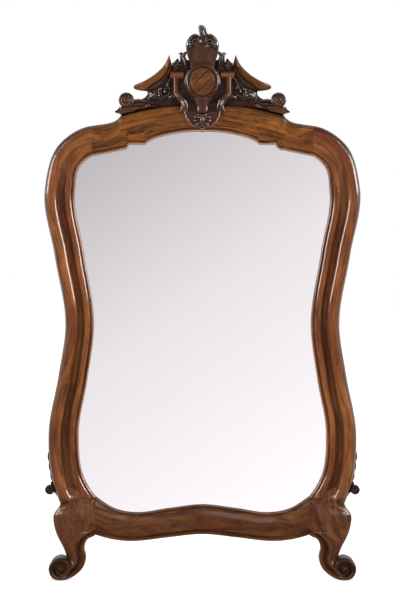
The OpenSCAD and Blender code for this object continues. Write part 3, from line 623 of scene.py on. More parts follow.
def fused(piece: bpy.types.Object, cell: float, passes: int = 2) -> None:
    """Replaces a piece's shells by one smooth skin.

    Args:
        piece: The piece.
        cell: Width in metres of the cells that the skin is made from.
        passes: Times that the skin is smoothed.
    """
    remesh = piece.modifiers.new("skin", "REMESH")
    remesh.mode = "VOXEL"
    remesh.voxel_size = cell
    mesh = bpy.data.meshes.new_from_object(piece.evaluated_get(bpy.context.evaluated_depsgraph_get()))
    piece.modifiers.clear()
    average = neighbours(mesh)
    places = points_of(mesh)
    for _ in range(passes):
        places = 0.4 * places + 0.6 * average(places)
    mesh.vertices.foreach_set("co", places.ravel())
    piece.data = mesh


# Shader maths
class Wire:
    """A shader socket that works in Python expressions."""

    def __init__(self, nodes: "Nodes", socket: bpy.types.NodeSocket | None) -> None:
        """Wraps a socket of the given nodes."""
        self.nodes, self.socket = nodes, socket

    def _with(self, operation: str, first: Any, second: Any) -> "Wire":
        """Node that works out an operation on two values.

        Args:
            operation: Name of the operation.
            first: Wire, number or tuple.
            second: Wire, number or tuple.

        Returns:
            The node's result.
        """
        several = any(isinstance(v, Wire) and v.socket.type != "VALUE" for v in (first, second))
        values = [(v,) * 3 if several and not isinstance(v, (Wire, tuple)) else v for v in (first, second)]
        kind = "ShaderNodeVectorMath" if several else "ShaderNodeMath"
        return self.nodes.add(kind, {"operation": operation}, dict(enumerate(values)))

    def __add__(self, other: Any) -> "Wire":
        """Sum."""
        return self._with("ADD", self, other)

    def __sub__(self, other: Any) -> "Wire":
        """Difference."""
        return self._with("SUBTRACT", self, other)

    def __rsub__(self, other: Any) -> "Wire":
        """Difference from a number."""
        return self._with("SUBTRACT", other, self)

    def __mul__(self, other: Any) -> "Wire":
        """Product."""
        return self._with("MULTIPLY", self, other)

    def clamped(self) -> "Wire":
        """The value kept between 0 and 1."""
        return self.nodes.add("ShaderNodeClamp", {}, {0: self})

    __radd__ = __add__
    __rmul__ = __mul__


def srgb(red: int, green: int, blue: int) -> Triple:
    """Linear colour from screen values."""
    return tuple(c / 3294.6 if c < 10.3 else ((c / 255 + 0.055) / 1.055) ** 2.4 for c in (red, green, blue))


@dataclass
class Nodes:
    """Node tree under construction."""

    tree: bpy.types.NodeTree

    def add(self, kind: str, settings: dict[str, Any], inputs: dict[Any, Any], output: int | str = 0) -> Wire:
        """Makes a node.

        Args:
            kind: Type of the node.
            settings: Its settings, which are set first.
            inputs: Values or wires by the socket's name or place.
            output: The socket that is wanted, where the node has any.

        Returns:
            That socket.
        """
        node = self.tree.nodes.new(kind)
        for key, value in settings.items():
            setattr(node, key, value)
        for key, value in inputs.items():
            if isinstance(value, Wire):
                self.tree.links.new(value.socket, node.inputs[key])
            elif isinstance(value, tuple) and node.inputs[key].type == "RGBA":
                node.inputs[key].default_value = (*value, 1)
            else:
                node.inputs[key].default_value = value
        return Wire(self, node.outputs[output] if node.outputs else None)

    def blend(self, share: Any, a: Any, b: Any) -> Wire:
        """Colour between a and b."""
        return self.add("ShaderNodeMix", {"data_type": "RGBA"}, {0: share, 6: a, 7: b}, 2)

    def between(self, value: Wire, low: float, high: float) -> Wire:
        """Smooth share of the way from low to high."""
        settings = {"interpolation_type": "SMOOTHSTEP"}
        return self.add("ShaderNodeMapRange", settings, {0: value, 1: low, 2: high})

    def noise(self, place: Wire, scale: Any, detail: float, roughness: float = 0.5, warp: float = 0) -> Wire:
        """Noise.

        Args:
            place: Where it is taken, in metres.
            scale: About how many blots a metre holds, or a tuple of that for each direction.
            detail: How many finer layers it has.
            roughness: Strength of the finer layers.
            warp: How far it is distorted.

        Returns:
            A value round 0.5.
        """
        if isinstance(scale, tuple):
            place, scale = place * scale, 1
        return self.add("ShaderNodeTexNoise", {}, {"Vector": place, "Scale": scale, "Detail": detail,
                                                   "Roughness": roughness, "Distortion": warp})

    def kept(self, name: str, output: str = "Fac") -> Wire:
        """Value that is kept on the mesh's corners."""
        return self.add("ShaderNodeAttribute", {"attribute_name": name}, {}, output)

    def place(self) -> Wire:
        """Place in metres."""
        return self.add("ShaderNodeTexCoord", {}, {}, "Object")

    def surface(self, sockets: dict[str, Any], bumps: Sequence[tuple[Any, float]] = ()) -> None:
        """Ends the material.

        Args:
            sockets: Values or wires of its surface shader.
            bumps: Its bumps, each as [height, depth in millimetres].
        """
        for rise, depth in bumps:
            links = {"Height": rise, "Distance": depth * MM, "Strength": 1.0}
            if "Normal" in sockets:
                links["Normal"] = sockets["Normal"]
            sockets = {**sockets, "Normal": self.add("ShaderNodeBump", {}, links)}
        shader = self.add("ShaderNodeBsdfPrincipled", {}, sockets)
        self.add("ShaderNodeOutputMaterial", {}, {"Surface": shader})


class Finish:
    """A finish whose material is made once."""

    made: dict[str, bpy.types.Material] = {}

    def material(self) -> bpy.types.Material:
        """The finish's material.

        Returns:
            The material, the same one each time.
        """
        if self.name not in Finish.made:
            made = bpy.data.materials.new(self.name)
            made.use_nodes = True
            made.node_tree.nodes.clear()
            self.build(Nodes(made.node_tree))
            Finish.made[self.name] = made
        return Finish.made[self.name]


@dataclass(frozen=True)
class Walnut(Finish):
    """French-polished walnut, streaked along the grain, with grooves darkened as soiling and painted shade,
    edges paled as wear and painted highlights, and a kept tone that darkens it, in places as painted shade,
    or below 0 pales it as a painted highlight.
    """

    name: str
    pale: Triple
    ground: Triple
    streak: Triple
    streaks: float = 0.6
    figure: float = 0.02
    # Strength of the darkening in grooves, part soiling and part painted shade, and of the paling on edges,
    # part wear and part painted highlight.
    dirt_and_shade: float = 0.8
    wear_and_glint: float = 0.35
    rough: float = 0.26
    coat: float = 0.45
    lengthwise: float = 3.2
    crosswise: float = 34
    # Colour of paled edges, part wear and part painted highlight; colour of the darkest tone, in places
    # painted shade; colour of darkened grooves, part soiling and part painted shade.
    wear_and_glint_colour: Triple = srgb(176, 118, 62)
    stain: Triple = srgb(32, 21, 19)
    grime_and_shade: Triple = srgb(14, 8, 7)

    def build(self, nodes: Nodes) -> None:
        """Makes the nodes.

        Args:
            nodes: The material's nodes.
        """
        grain, tone = nodes.kept("grain", "Vector"), nodes.kept("tone")
        hollow = nodes.kept("hollow")
        drift = nodes.noise(grain, (5.0, 9.0, 9.0), 2) - 0.5
        sway = {1: drift * self.figure * 4, 2: drift * self.figure * 2}
        place = grain + nodes.add("ShaderNodeCombineXYZ", {}, sway)
        wide, thin = self.crosswise, self.crosswise * 3.2
        patch = nodes.between(nodes.noise(place, (4.0, 26.0, 26.0), 3, 0.6), 0.34, 0.68)
        bands = nodes.noise(place, (self.lengthwise, wide, wide), 5, 0.65, 0.5)
        veins = nodes.noise(place, (self.lengthwise * 2, thin, thin), 4, 0.6, 0.3)
        fibres = nodes.noise(place, (40.0, 900.0, 900.0), 3)
        pores = nodes.between(nodes.noise(place, (90.0, 1900.0, 1900.0), 1), 0.63, 0.74)
        mottle = nodes.between(nodes.noise(place, (14.0, 34.0, 34.0), 4, 0.65), 0.34, 0.66)
        ripple = nodes.noise(grain, (14.0, 26.0, 26.0), 2)
        dark = (nodes.between(bands, 0.46, 0.64) * (0.55 * self.streaks)
                + nodes.between(veins, 0.48, 0.68) * (0.7 * self.streaks)).clamped()
        wood = nodes.blend(dark, nodes.blend(patch, self.ground, self.pale), self.streak)
        wood = wood * (0.80 + mottle * 0.38) * (1 - pores * 0.4) * (0.66 + fibres * 0.66)
        # The kept tone pales the wood below 0 as a painted highlight and darkens it above 0, in places as
        # painted shade.
        wood = nodes.blend((tone * -1).clamped(), wood, self.wear_and_glint_colour)
        wood = nodes.blend(tone, wood, self.stain)
        # Grooves darken, part soiling and part painted shade.
        grime_and_shade = nodes.between(hollow * -1, 0.10, 0.75) * self.dirt_and_shade
        wood = nodes.blend(grime_and_shade, wood, self.grime_and_shade)
        # Edges pale toward the worn colour, part wear and part painted highlight.
        wood = nodes.blend(nodes.between(hollow, 0.16, 0.8) * self.wear_and_glint, wood, self.wear_and_glint_colour)
        coat = (self.coat - grime_and_shade * 0.5 - tone.clamped() * 0.5).clamped()
        nodes.surface({"Base Color": wood, "Roughness": self.rough + fibres * 0.08 + grime_and_shade * 0.3,
                       "Coat Weight": coat, "Coat Roughness": 0.11, "Specular IOR Level": 0.14},
                      [(ripple, 0.5), (fibres, 0.05), (1 - pores, 0.08)])


@dataclass(frozen=True)
class Pine(Finish):
    """Old sawn pine, browned by air, with late-wood lines, saw marks and dust."""

    name: str = "aged_pine"
    pale: Triple = srgb(160, 122, 80)
    late: Triple = srgb(118, 78, 46)
    grey: Triple = srgb(112, 94, 76)

    def build(self, nodes: Nodes) -> None:
        """Makes the nodes.

        Args:
            nodes: The material's nodes.
        """
        own = nodes.add("ShaderNodeObjectInfo", {}, {}, "Random")
        place = nodes.place() + own * 9
        drift = nodes.noise(place, (4.0, 4.0, 0.8), 2)
        rings = nodes.noise(place * (70.0, 30.0, 0.9) + drift * 1.6, 1, 3)
        lines = nodes.between(rings, 0.48, 0.62)
        saw = nodes.noise(place, (8.0, 8.0, 420.0), 1)
        fibres = nodes.noise(place, (900.0, 900.0, 22.0), 3)
        stain = nodes.between(nodes.noise(place, 5, 4, 0.65), 0.42, 0.75)
        wood = nodes.blend(lines * 0.75, self.pale, self.late) * (0.66 + fibres * 0.5 + own * 0.2)
        wood = nodes.blend(stain * 0.5, wood, self.grey)
        nodes.surface({"Base Color": wood, "Roughness": 0.68 + fibres * 0.2},
                      [(saw, 0.25), (fibres, 0.12), (lines, 0.15)])


@dataclass(frozen=True)
class Silvering(Finish):
    """Old mirror plate: bright, a little hazed and very slightly wavy."""

    name: str = "silvered_glass"
    tint: Triple = (0.90, 0.885, 0.925)
    hazed: float = 0.92

    def build(self, nodes: Nodes) -> None:
        """Makes the nodes.

        Args:
            nodes: The material's nodes.
        """
        place = nodes.place()
        dull = tuple(c * self.hazed for c in self.tint)
        tint = nodes.blend(nodes.noise(place, 9, 4, 0.7) * 0.25, self.tint, dull)
        wave = nodes.noise(place, 2.2, 1)
        nodes.surface({"Base Color": tint, "Metallic": 1.0, "Roughness": 0.0}, [(wave, 0.15)])


@dataclass(frozen=True)
class BackPaint(Finish):
    """Brushed red-brown paint over the silvering, behind the plate."""

    name: str = "mirror_back_paint"
    thin: Triple = srgb(96, 52, 38)
    thick: Triple = srgb(70, 38, 30)

    def build(self, nodes: Nodes) -> None:
        """Makes the nodes.

        Args:
            nodes: The material's nodes.
        """
        brush = nodes.noise(nodes.place(), (12.0, 12.0, 90.0), 3)
        paint = nodes.blend(brush, self.thin, self.thick)
        nodes.surface({"Base Color": paint, "Roughness": 0.6}, [(brush, 0.1)])


@dataclass(frozen=True)
class Metal(Finish):
    """Old metal with a worn tone, tarnish in blots and fine scratches."""

    name: str
    bright: Triple
    tarnish: Triple
    rough: float
    age: float

    def build(self, nodes: Nodes) -> None:
        """Makes the nodes.

        Args:
            nodes: The material's nodes.
        """
        place = nodes.place()
        blots = nodes.between(nodes.noise(place, 130, 5, 0.7), 0.45, 0.68) * self.age
        fine = nodes.noise(place, (3000.0, 3000.0, 300.0), 2)
        colour = nodes.blend(blots, self.bright, self.tarnish)
        rough = self.rough + blots * 0.35 + fine * 0.08
        nodes.surface({"Base Color": colour, "Metallic": 1 - blots * 0.5, "Roughness": rough},
                      [(fine, 0.02), (blots, 0.05)])


@dataclass(frozen=True)
class Floor(Finish):
    """Plain pale floor that meets the white round it, by a glow that grows from its middle outward."""

    name: str = "pale_floor"
    near: Triple = (0.72,) * 3
    far: Triple = (1.0,) * 3
    darker: Triple = (0.60,) * 3
    paler: Triple = (0.63,) * 3

    def build(self, nodes: Nodes) -> None:
        """Makes the nodes.

        Args:
            nodes: The material's nodes.
        """
        place = nodes.place()
        reach = nodes.add("ShaderNodeVectorMath", {"operation": "LENGTH"}, {0: place}, "Value")
        glow = nodes.blend(nodes.between(reach, 0.4, 3.0), self.near, self.far)
        pale = nodes.blend(nodes.noise(place, 3, 2), self.darker, self.paler)
        nodes.surface({"Base Color": pale, "Roughness": 0.9, "Specular IOR Level": 0.0,
                       "Emission Color": glow, "Emission Strength": 1.0})


FIGURED = Walnut("figured_walnut", srgb(142, 85, 36), srgb(108, 61, 26), srgb(42, 22, 12), streaks=0.95,
                 figure=0.022, dirt_and_shade=0.9, wear_and_glint=0.3, crosswise=85, lengthwise=2.0, coat=0.25)
RED = Walnut("red_walnut", srgb(146, 90, 47), srgb(116, 61, 33), srgb(50, 26, 16), streaks=0.75,
             figure=0.014, wear_and_glint=0.25, crosswise=55, lengthwise=2.0)
BURR = Walnut("burr_walnut", srgb(116, 71, 36), srgb(92, 50, 26), srgb(44, 26, 17), streaks=0.8,
              figure=0.03, lengthwise=5, crosswise=60, wear_and_glint=0.1, rough=0.34, coat=0.14)
DUSKY = Walnut("dusky_walnut", srgb(86, 54, 40), srgb(68, 41, 31), srgb(36, 23, 19), streaks=0.5,
               wear_and_glint=0.22, crosswise=80, wear_and_glint_colour=srgb(118, 86, 68), coat=0.7, rough=0.24)
CARVED = Walnut("carved_walnut", srgb(64, 42, 35), srgb(46, 30, 25), srgb(24, 16, 14), streaks=0.5,
                dirt_and_shade=1.0, wear_and_glint=0.5, rough=0.24, coat=0.95, wear_and_glint_colour=srgb(124, 98, 88))
PINE = Pine()
PLATE = Silvering()
PAINT = BackPaint()
STEEL = Metal("old_steel", srgb(150, 146, 140), srgb(84, 58, 44), 0.38, 0.7)
BRASS = Metal("aged_brass", srgb(196, 158, 88), srgb(96, 70, 40), 0.28, 0.5)


@dataclass
class Lines:
    """Lines that every member of the frame follows, in millimetres."""

    shoulder_half: float = 385
    waist_half: float = 328
    hip_half: float = 374
    seam_half: float = 333
    foot_seam_half: float = 322
    foot_h: float = 246
    stile_h: float = 1029
    shoulder_drop: float = 105
    waist_up: float = 519
    hip_up: float = 189
    arch_half: float = 172
    arch_rise: float = 40
    step_h: float = 17
    step_w: float = 23
    step_out: float = 74
    shoulder_rise: float = 18
    stile_w: float = 90
    waist_w: float = 85
    knee_w: float = 114
    rail_h: float = 90
    crown_h: float = 81
    shelf_drop: float = 36
    bottom_rail_h: float = 87
    rail_clear: float = 135
    belly_drop: float = 21
    break_half: float = 246

    def __post_init__(self) -> None:
        """Works out the heights and the knots."""
        self.top_z = self.foot_h + self.stile_h
        self.fillet_z = self.top_z + self.shoulder_rise + self.step_h
        self.crest_z = self.fillet_z + self.arch_rise + self.crown_h
        self.shelf_z = self.crest_z - self.shelf_drop
        self.step_half = self.arch_half + self.step_out
        top, bottom = (self.seam_half, self.top_z), (self.foot_seam_half, self.foot_h)
        shoulder = self.shoulder_half, self.top_z - self.shoulder_drop
        waist = self.waist_half, self.foot_h + self.waist_up
        hip = self.hip_half, self.foot_h + self.hip_up

        def on_way(a: Pair, b: Pair, across: float, down: float) -> Pair:
            """Knot between two others."""
            return mix(a[0], b[0], across), mix(a[1], b[1], down)

        self.sight_knots = np.array([
            top, on_way(top, shoulder, 0.72, 0.31), shoulder, on_way(shoulder, waist, 0.46, 0.46), waist,
            on_way(waist, hip, 0.43, 0.5), hip, on_way(hip, bottom, 0.35, 0.72), bottom])
        self.last_u = len(self.sight_knots) - 1
        w, side_w = self.stile_w, mix(self.stile_w, self.waist_w, 0.6)
        widths = np.array([self.rail_h, w, w, side_w, self.waist_w, side_w, w, w + 4, self.knee_w])
        leans = [90, 47, 3, -8, 0, 8.5, 0, -9, 0]
        self.outer_knots = self.sight_knots + widths[:, None] * turned(leans)
        out, low, drop = self.foot_seam_half, self.rail_clear, self.belly_drop
        mid = low + self.bottom_rail_h
        self.belly = [(0, mid), (0.31 * out, mid - 11), (0.62 * out, mid - 24), (0.83 * out, mid - 11),
                      (out, self.foot_h)]
        self.under = [(0, low), (0.31 * out, low - 0.45 * drop), (0.65 * out, low - drop),
                      (0.84 * out, low - 0.75 * drop), (out, low - 2)]

    def sight(self, u: Any) -> Array:
        """Opening's edge down the right stile."""
        return curve(self.sight_knots, u, [(0.92, -0.39), (-0.70, -0.71)])

    def outer(self, u: Any) -> Array:
        """Outer edge of the right stile."""
        return curve(self.outer_knots, u, [(1, -0.12), (-0.30, -0.95)])

    def outer_side(self, u: Any) -> Array:
        """Direction away from the stile's outer edge."""
        return left_of(unit(self.outer(np.minimum(u + 0.02, self.last_u)) - self.outer(u - 0.02)))

    def sight_top(self, x: Any) -> Array:
        """Height of the opening's edge under the top rail.

        Args:
            x: Distances from the centre line, on either side.

        Returns:
            The height at each: a slope, a quarter-round step, a flat fillet and the arch.
        """
        x = np.abs(np.atleast_1d(np.asarray(x, float)))
        inward = (self.seam_half - x) / (self.seam_half - self.step_half)
        t = np.clip((self.step_half - x) / self.step_w, 0, 1)
        step = self.fillet_z - self.step_h * np.sqrt(1 - t * t)
        arch = self.fillet_z + self.arch_rise * np.clip(1 - (x / self.arch_half) ** 2, 0, 1) ** 0.68
        inner = np.where(x > self.step_half - self.step_w, step, arch)
        return np.where(x >= self.step_half, self.top_z + self.shoulder_rise * inward, inner)

    def rail_top(self, x: Any) -> Array:
        """Height of the top rail's upper edge.

        Args:
            x: Distances from the centre line, on either side.

        Returns:
            The height at each.
        """
        x = np.abs(np.atleast_1d(np.asarray(x, float)))
        t = (self.seam_half - x) / (self.seam_half - self.break_half)
        lift = self.shelf_z - self.top_z - self.rail_h
        shoulder = self.top_z + self.rail_h + lift * (0.4 * t + 0.6 * np.clip(t, 0, None) ** 6)
        arch = mix(self.crest_z, self.shelf_z, (x / self.break_half) ** 2)
        return np.where(x > self.break_half, shoulder, arch)

    def bottom_sight(self, x: Any) -> Array:
        """Height of the opening's edge over the bottom rail."""
        return height(self.belly, np.abs(np.atleast_1d(x)))

    def underside(self, x: Any) -> Array:
        """Height of the bottom rail's lower edge."""
        return height(self.under, np.abs(np.atleast_1d(x)))

    def rail_stations(self) -> Array:
        """Where the top rail's section is taken, from its end to the centre and closer round its step.

        Returns:
            Distances from the centre line, the largest first.
        """
        seam, edge, step, arch = self.seam_half, self.break_half, self.step_half, self.arch_half
        stretches = [steps(seam, edge + 1.5, int((seam - edge) / 3)), steps(edge + 1.4, step + 0.5, 4),
                     step - self.step_w * np.sin(np.radians(steps(0, 90, 14))),
                     steps(step - self.step_w - 1, arch + 1, 16),
                     arch * np.cos(np.radians(steps(0, 90, 64)))[:-1], [0.0]]
        return np.unique(np.concatenate(stretches))[::-1]

    def opening(self, by: float) -> Array:
        """Closed outline of the opening.

        Args:
            by: How far it is grown.

        Returns:
            Rows of [x, z].
        """
        a = np.radians(steps(-85, 85, 35))
        side = self.sight(steps(0, self.last_u, 121))
        side = side + by * left_of(unit(np.gradient(side, axis=0)))
        out = steps(0, side[0, 0], 90)[:-1, None]
        top = np.max(self.sight_top(out + by * np.sin(a)) + by * np.cos(a), 1, keepdims=True)
        back = steps(side[-1, 0], 0, 80)[1:, None]
        low = np.min(self.bottom_sight(back + by * np.sin(a)) - by * np.cos(a), 1, keepdims=True)
        return both_halves(np.concatenate([np.hstack([out, top]), side, np.hstack([back, low])]))


def eased_ends(rings: Array, by: float = 0.9) -> Array:
    """Rings with a small chamfer at both ends, so that the joint beside them shows.

    Args:
        rings: The rings of a member of the frame.
        by: Width of the chamfer.

    Returns:
        The rings with one more at each end.
    """
    first, last = rings[0].copy(), rings[-1].copy()
    out = []
    for ring, beside in ((first, rings[1]), (last, rings[-2])):
        inward = by * unit(ring.mean(0) - ring)
        out.append(np.where(ring[:, 1:2] < 1, ring, ring + inward))
        way = beside - ring
        ring += way * min(0.9, by / (np.linalg.norm(way, axis=1).mean() + TINY))
    return np.concatenate([out[:1], [first], rings[1:-1], [last], out[1:]])


def jointed(rings: Array, grain: Array, tones: Any = None) -> Form:
    """Form of a member of the frame, with a chamfer at both ends for the joint beside it."""
    rows = [0, *range(len(rings)), -1]
    return Form().loft(eased_ends(rings), grain[rows], tones=None if tones is None else np.array(tones)[rows])


@dataclass
class FrameWork:
    """Moulded members of the frame: two stiles, a top rail and a bottom rail."""

    lines: Lines
    frame_d: float = 58
    side_d: float = 24
    round_w: float = 40
    hollow_d: float = 38
    inner_round_w: float = 22
    inner_round_d: float = 48
    bead_w: float = 7
    bead_h: float = 4.5
    break_proud: float = 3
    rebate_w: float = 14
    rebate_d: float = 18
    arris: float = 2.2
    bead_power: float = 2.6
    # Darkening as painted shade in the hollow and in the groove by the bead, a darkening near the shoulder,
    # and paling of the bead's inner edge as a painted highlight.
    hollow_painted_shade: float = 0.42
    groove_painted_shade: float = 0.75
    shoulder_tone: float = 0.15
    bead_painted_highlight: float = -1

    def plain(self, a: Array, w: float) -> Array:
        """Depth of the top rail's swelling at a distance from its upper edge.

        Args:
            a: The distances.
            w: Width of the rail.

        Returns:
            The depth at each.
        """
        g = max(w / 2, self.round_w)
        fall = ease((a - g) / (w - g - self.bead_w))
        return mix(self.frame_d, self.inner_round_d - 4, fall) - 2.5 * ease((a - g + 0.8) / 1.6)

    def section(self, w: float, f: float, k: float, wall: float, proud: float, arris: float) -> Array:
        """Section of the frame from its outer edge to the opening.

        Args:
            w: Width of the member.
            f: 0 for the plain swelling of the top rail, 1 for the hollowed moulding of the stiles.
            k: How much wider the inner members lie where the section cuts the opening's edge aslant.
            wall: Width of the rebate there.
            proud: How far the member breaks forward.
            arris: Height of the two fine ridges beside the hollow.

        Returns:
            Rows of [distance, depth].
        """
        inner = (self.bead_w + self.inner_round_w) * k
        groove, crown = max(w / 2, self.round_w), 0.46
        q = 0.5 - 0.5 * np.cos(np.radians(steps(0, 180, 34)))
        beyond = 1 - 0.32 * np.clip((q - crown) / (1 - crown), 0, 1) ** 4
        up = np.where(q < crown, swell((crown - q) / crown, 2), beyond)
        a = self.round_w * q
        d = mix(self.side_d, self.frame_d, up)
        rows = [np.stack([a, np.where(q > crown, mix(self.plain(a, w), d, f), d)], -1)]
        q = steps(0.04, 0.96, 31)
        a = mix(groove + mix(0.6, 9, q), mix(self.round_w + 0.4, w - inner, q), f)
        cove = self.hollow_d + 1 - 5 * np.sin(np.pi * q) + arris * (bump(q, 0.12, 0.06) + bump(q, 0.88, 0.06))
        rows.append(np.stack([a, mix(self.plain(a, w), cove, f)], -1))
        t = np.radians(steps(168, 12, 22))
        a = w - (self.bead_w + self.inner_round_w / 2 * (1 - np.cos(t))) * k
        d = mix(self.hollow_d, self.inner_round_d, np.sin(t))
        rows.append(np.stack([a, mix(self.plain(a, w), d, f)], -1))
        q = steps(1, 0, 11)
        bead = self.hollow_d - 2 + self.bead_h * swell(2 * q - 1, self.bead_power)
        rows.append(np.stack([w - self.bead_w * k * q, bead], -1))
        front = np.concatenate(rows) + [0, proud]
        return np.concatenate([[[0, 0], [0, self.side_d / 2]], front, self.rebate(w, wall)])

    def rebate(self, w: float, wall: float) -> list[list[float]]:
        """Corner of a section round the glass, at the opening's edge."""
        return [[w, self.rebate_d], [w - wall, self.rebate_d], [w - wall, 0]]

    def rebate_wall(self, edge: Callable[[Any], Array], x: float, out: int, end: float) -> float:
        """Width of the rebate at a place on a rail.

        Args:
            edge: Height of the opening's edge over x.
            x: The place.
            out: 1 where the rail is over the opening and -1 where it is under it.
            end: Where the rail ends.

        Returns:
            The width, measured up the section.
        """
        spread = np.radians(steps(-75, 75, 11))
        near = np.minimum(abs(x) + self.rebate_w * np.sin(spread), end)
        return float(np.max(out * edge(near) + self.rebate_w * np.cos(spread)) - out * edge(x)[0])

    def stile(self) -> Form:
        """Right stile, from the top rail's joint round the shoulder and down to the foot.

        Returns:
            Its form.
        """
        lines, sections, tones = self.lines, [], []
        for u in steps(0, lines.last_u, lines.last_u * 26 + 1):
            start, end = lines.outer(u)[0], lines.sight(u)[0]
            near = lines.sight([max(u - 0.02, 0), min(u + 0.02, lines.last_u)])
            way, along = unit(end - start), unit(near[1] - near[0])
            aslant = 1 / max(0.5, abs(way[0] * along[1] - way[1] * along[0]))
            section, tone = self.stile_section(u, float(np.linalg.norm(end - start)), aslant)
            sections.append((start, end, section))
            tones.append(tone)
        return jointed(*swept(sections), tones)

    def stile_section(self, u: float, w: float, k: float) -> tuple[Array, Array]:
        """Section of the stile at a place down its length, and how dark it is.

        Args:
            u: Place along the stile's knots.
            w: Width there.
            k: How much wider the inner members lie where the section is aslant.

        Returns:
            Rows of [distance, depth] and the darkening of each.
        """
        hollowed = float(ease((u - 0.9) / 1.3) * (1 - 0.5 * ease((u - 7.3) / 0.7)))
        arris = self.arris * float(ease((u - 2.0) / 0.12) * (1 - ease((u - 7.3) / 0.4)))
        shoulder = 1 - float(ease((u - 1.0) / 1.5))
        section = self.section(w, hollowed, k, self.rebate_w * k, 0, arris)
        inner = w - (self.bead_w + self.inner_round_w) * k
        a = section[:, 0]
        hollow = ease((a - self.round_w + 2) / 5) * (1 - ease((a - inner - 1) / 5))
        # Painted shade darkens the hollow, the groove beside the sight bead and the outer edge, more widely
        # round the shoulder, which is also darker overall; the bead's inner edge is paled as a painted
        # highlight.
        tone = self.hollow_painted_shade * hollowed * hollow
        tone = tone + self.groove_painted_shade * bump(a, w - self.bead_w * k - 0.5, 1.8)
        tone = tone + (0.4 + 0.28 * shoulder) * (1 - ease(a / (13 + 15 * shoulder)))
        tone = tone + self.shoulder_tone * shoulder
        tone[-4:-2] = self.bead_painted_highlight
        return section, tone

    def top_rail(self) -> Form:
        """Top rail, whose arched middle breaks forward.

        Returns:
            Its form.
        """
        lines, sections, tones = self.lines, [], []
        right = lines.rail_stations()
        xs = np.concatenate([-right, right[::-1][1:]])
        for x in xs:
            top, low = float(lines.rail_top(x)[0]), float(lines.sight_top(x)[0])
            wall = self.rebate_wall(lines.sight_top, x, 1, lines.seam_half)
            slope = float(lines.sight_top(abs(x) - 0.8)[0] - lines.sight_top(abs(x) + 0.8)[0]) / 1.6
            k = min(1.6, math.hypot(1, slope))
            proud = self.break_proud * float(ease((lines.break_half + 5 - abs(x)) / 10))
            section = self.section(top - low, 0, k, wall, proud, 0)
            a = section[:, 0]
            # Painted shade darkens the upper edge under the crest, taking its polish off there, and the
            # groove beside the bead; the bead's inner edge is paled as a painted highlight.
            groove = 0.8 * bump(a, top - low - self.bead_w * k - 0.5, 1.8)
            tones.append(0.9 * (1 - ease((a - 2) / 7)) + groove)
            tones[-1][-4:-2] = self.bead_painted_highlight
            sections.append((np.array([x, top]), np.array([x, low]), section))
        rings, grain = swept(sections)
        grain[:, :, 0] = xs[:, None]
        return jointed(rings, grain, tones)

    def cushion(self, w: float) -> Array:
        """Front of the bottom rail from its lower edge to the opening, as rows of [distance, depth].

        Args:
            w: Width of the rail.

        Returns:
            Rows of [distance, depth].
        """
        d, s, h = self.frame_d, self.side_d, self.hollow_d
        lower_bead = [[0, s + 2], [1.2, s + 11], [5.5, s + 15], [10, s + 12], [12.5, s + 9], [15, s + 14]]
        face = [[20, d - 12], [25, d - 11], [28, d - 10], [44, d - 3], [0.62 * w, d - 3.5], [w - 20, d - 8],
                [w - 9, d - 14], [w - 5.5, h + 1], [w - 4.6, h - 1.5]]
        q = steps(1, 0, 9)
        bead = np.stack([w - 4.2 * q, h - 1 + 3 * swell(2 * q - 1, self.bead_power)], -1)
        return np.concatenate([smooth(lower_bead + face, 5), bead])

    def bottom_rail(self) -> Form:
        """Bottom rail: a broad cushion between a bead along the lower edge and a bead at the opening.

        Returns:
            Its form.
        """
        lines, sections = self.lines, []
        for x in steps(-lines.foot_seam_half, lines.foot_seam_half, 215):
            low, top = float(lines.underside(x)[0]), float(lines.bottom_sight(x)[0])
            wall = self.rebate_wall(lines.bottom_sight, x, -1, lines.foot_seam_half)
            section = np.concatenate([[[0, 0]], self.cushion(top - low), self.rebate(top - low, wall)])
            sections.append((np.array([x, low]), np.array([x, top]), section))
        return jointed(*swept(sections))

    def build(self) -> None:
        """Makes the four members."""
        self.stile().make_pair("moulded_stile", RED, "stile", Slot.WALNUT)
        self.top_rail().make("arched_top_rail", FIGURED, "top_rail", slot=Slot.FIGURED)
        self.bottom_rail().make("serpentine_bottom_rail", BURR, "bottom_rail", slot=Slot.FIGURED)


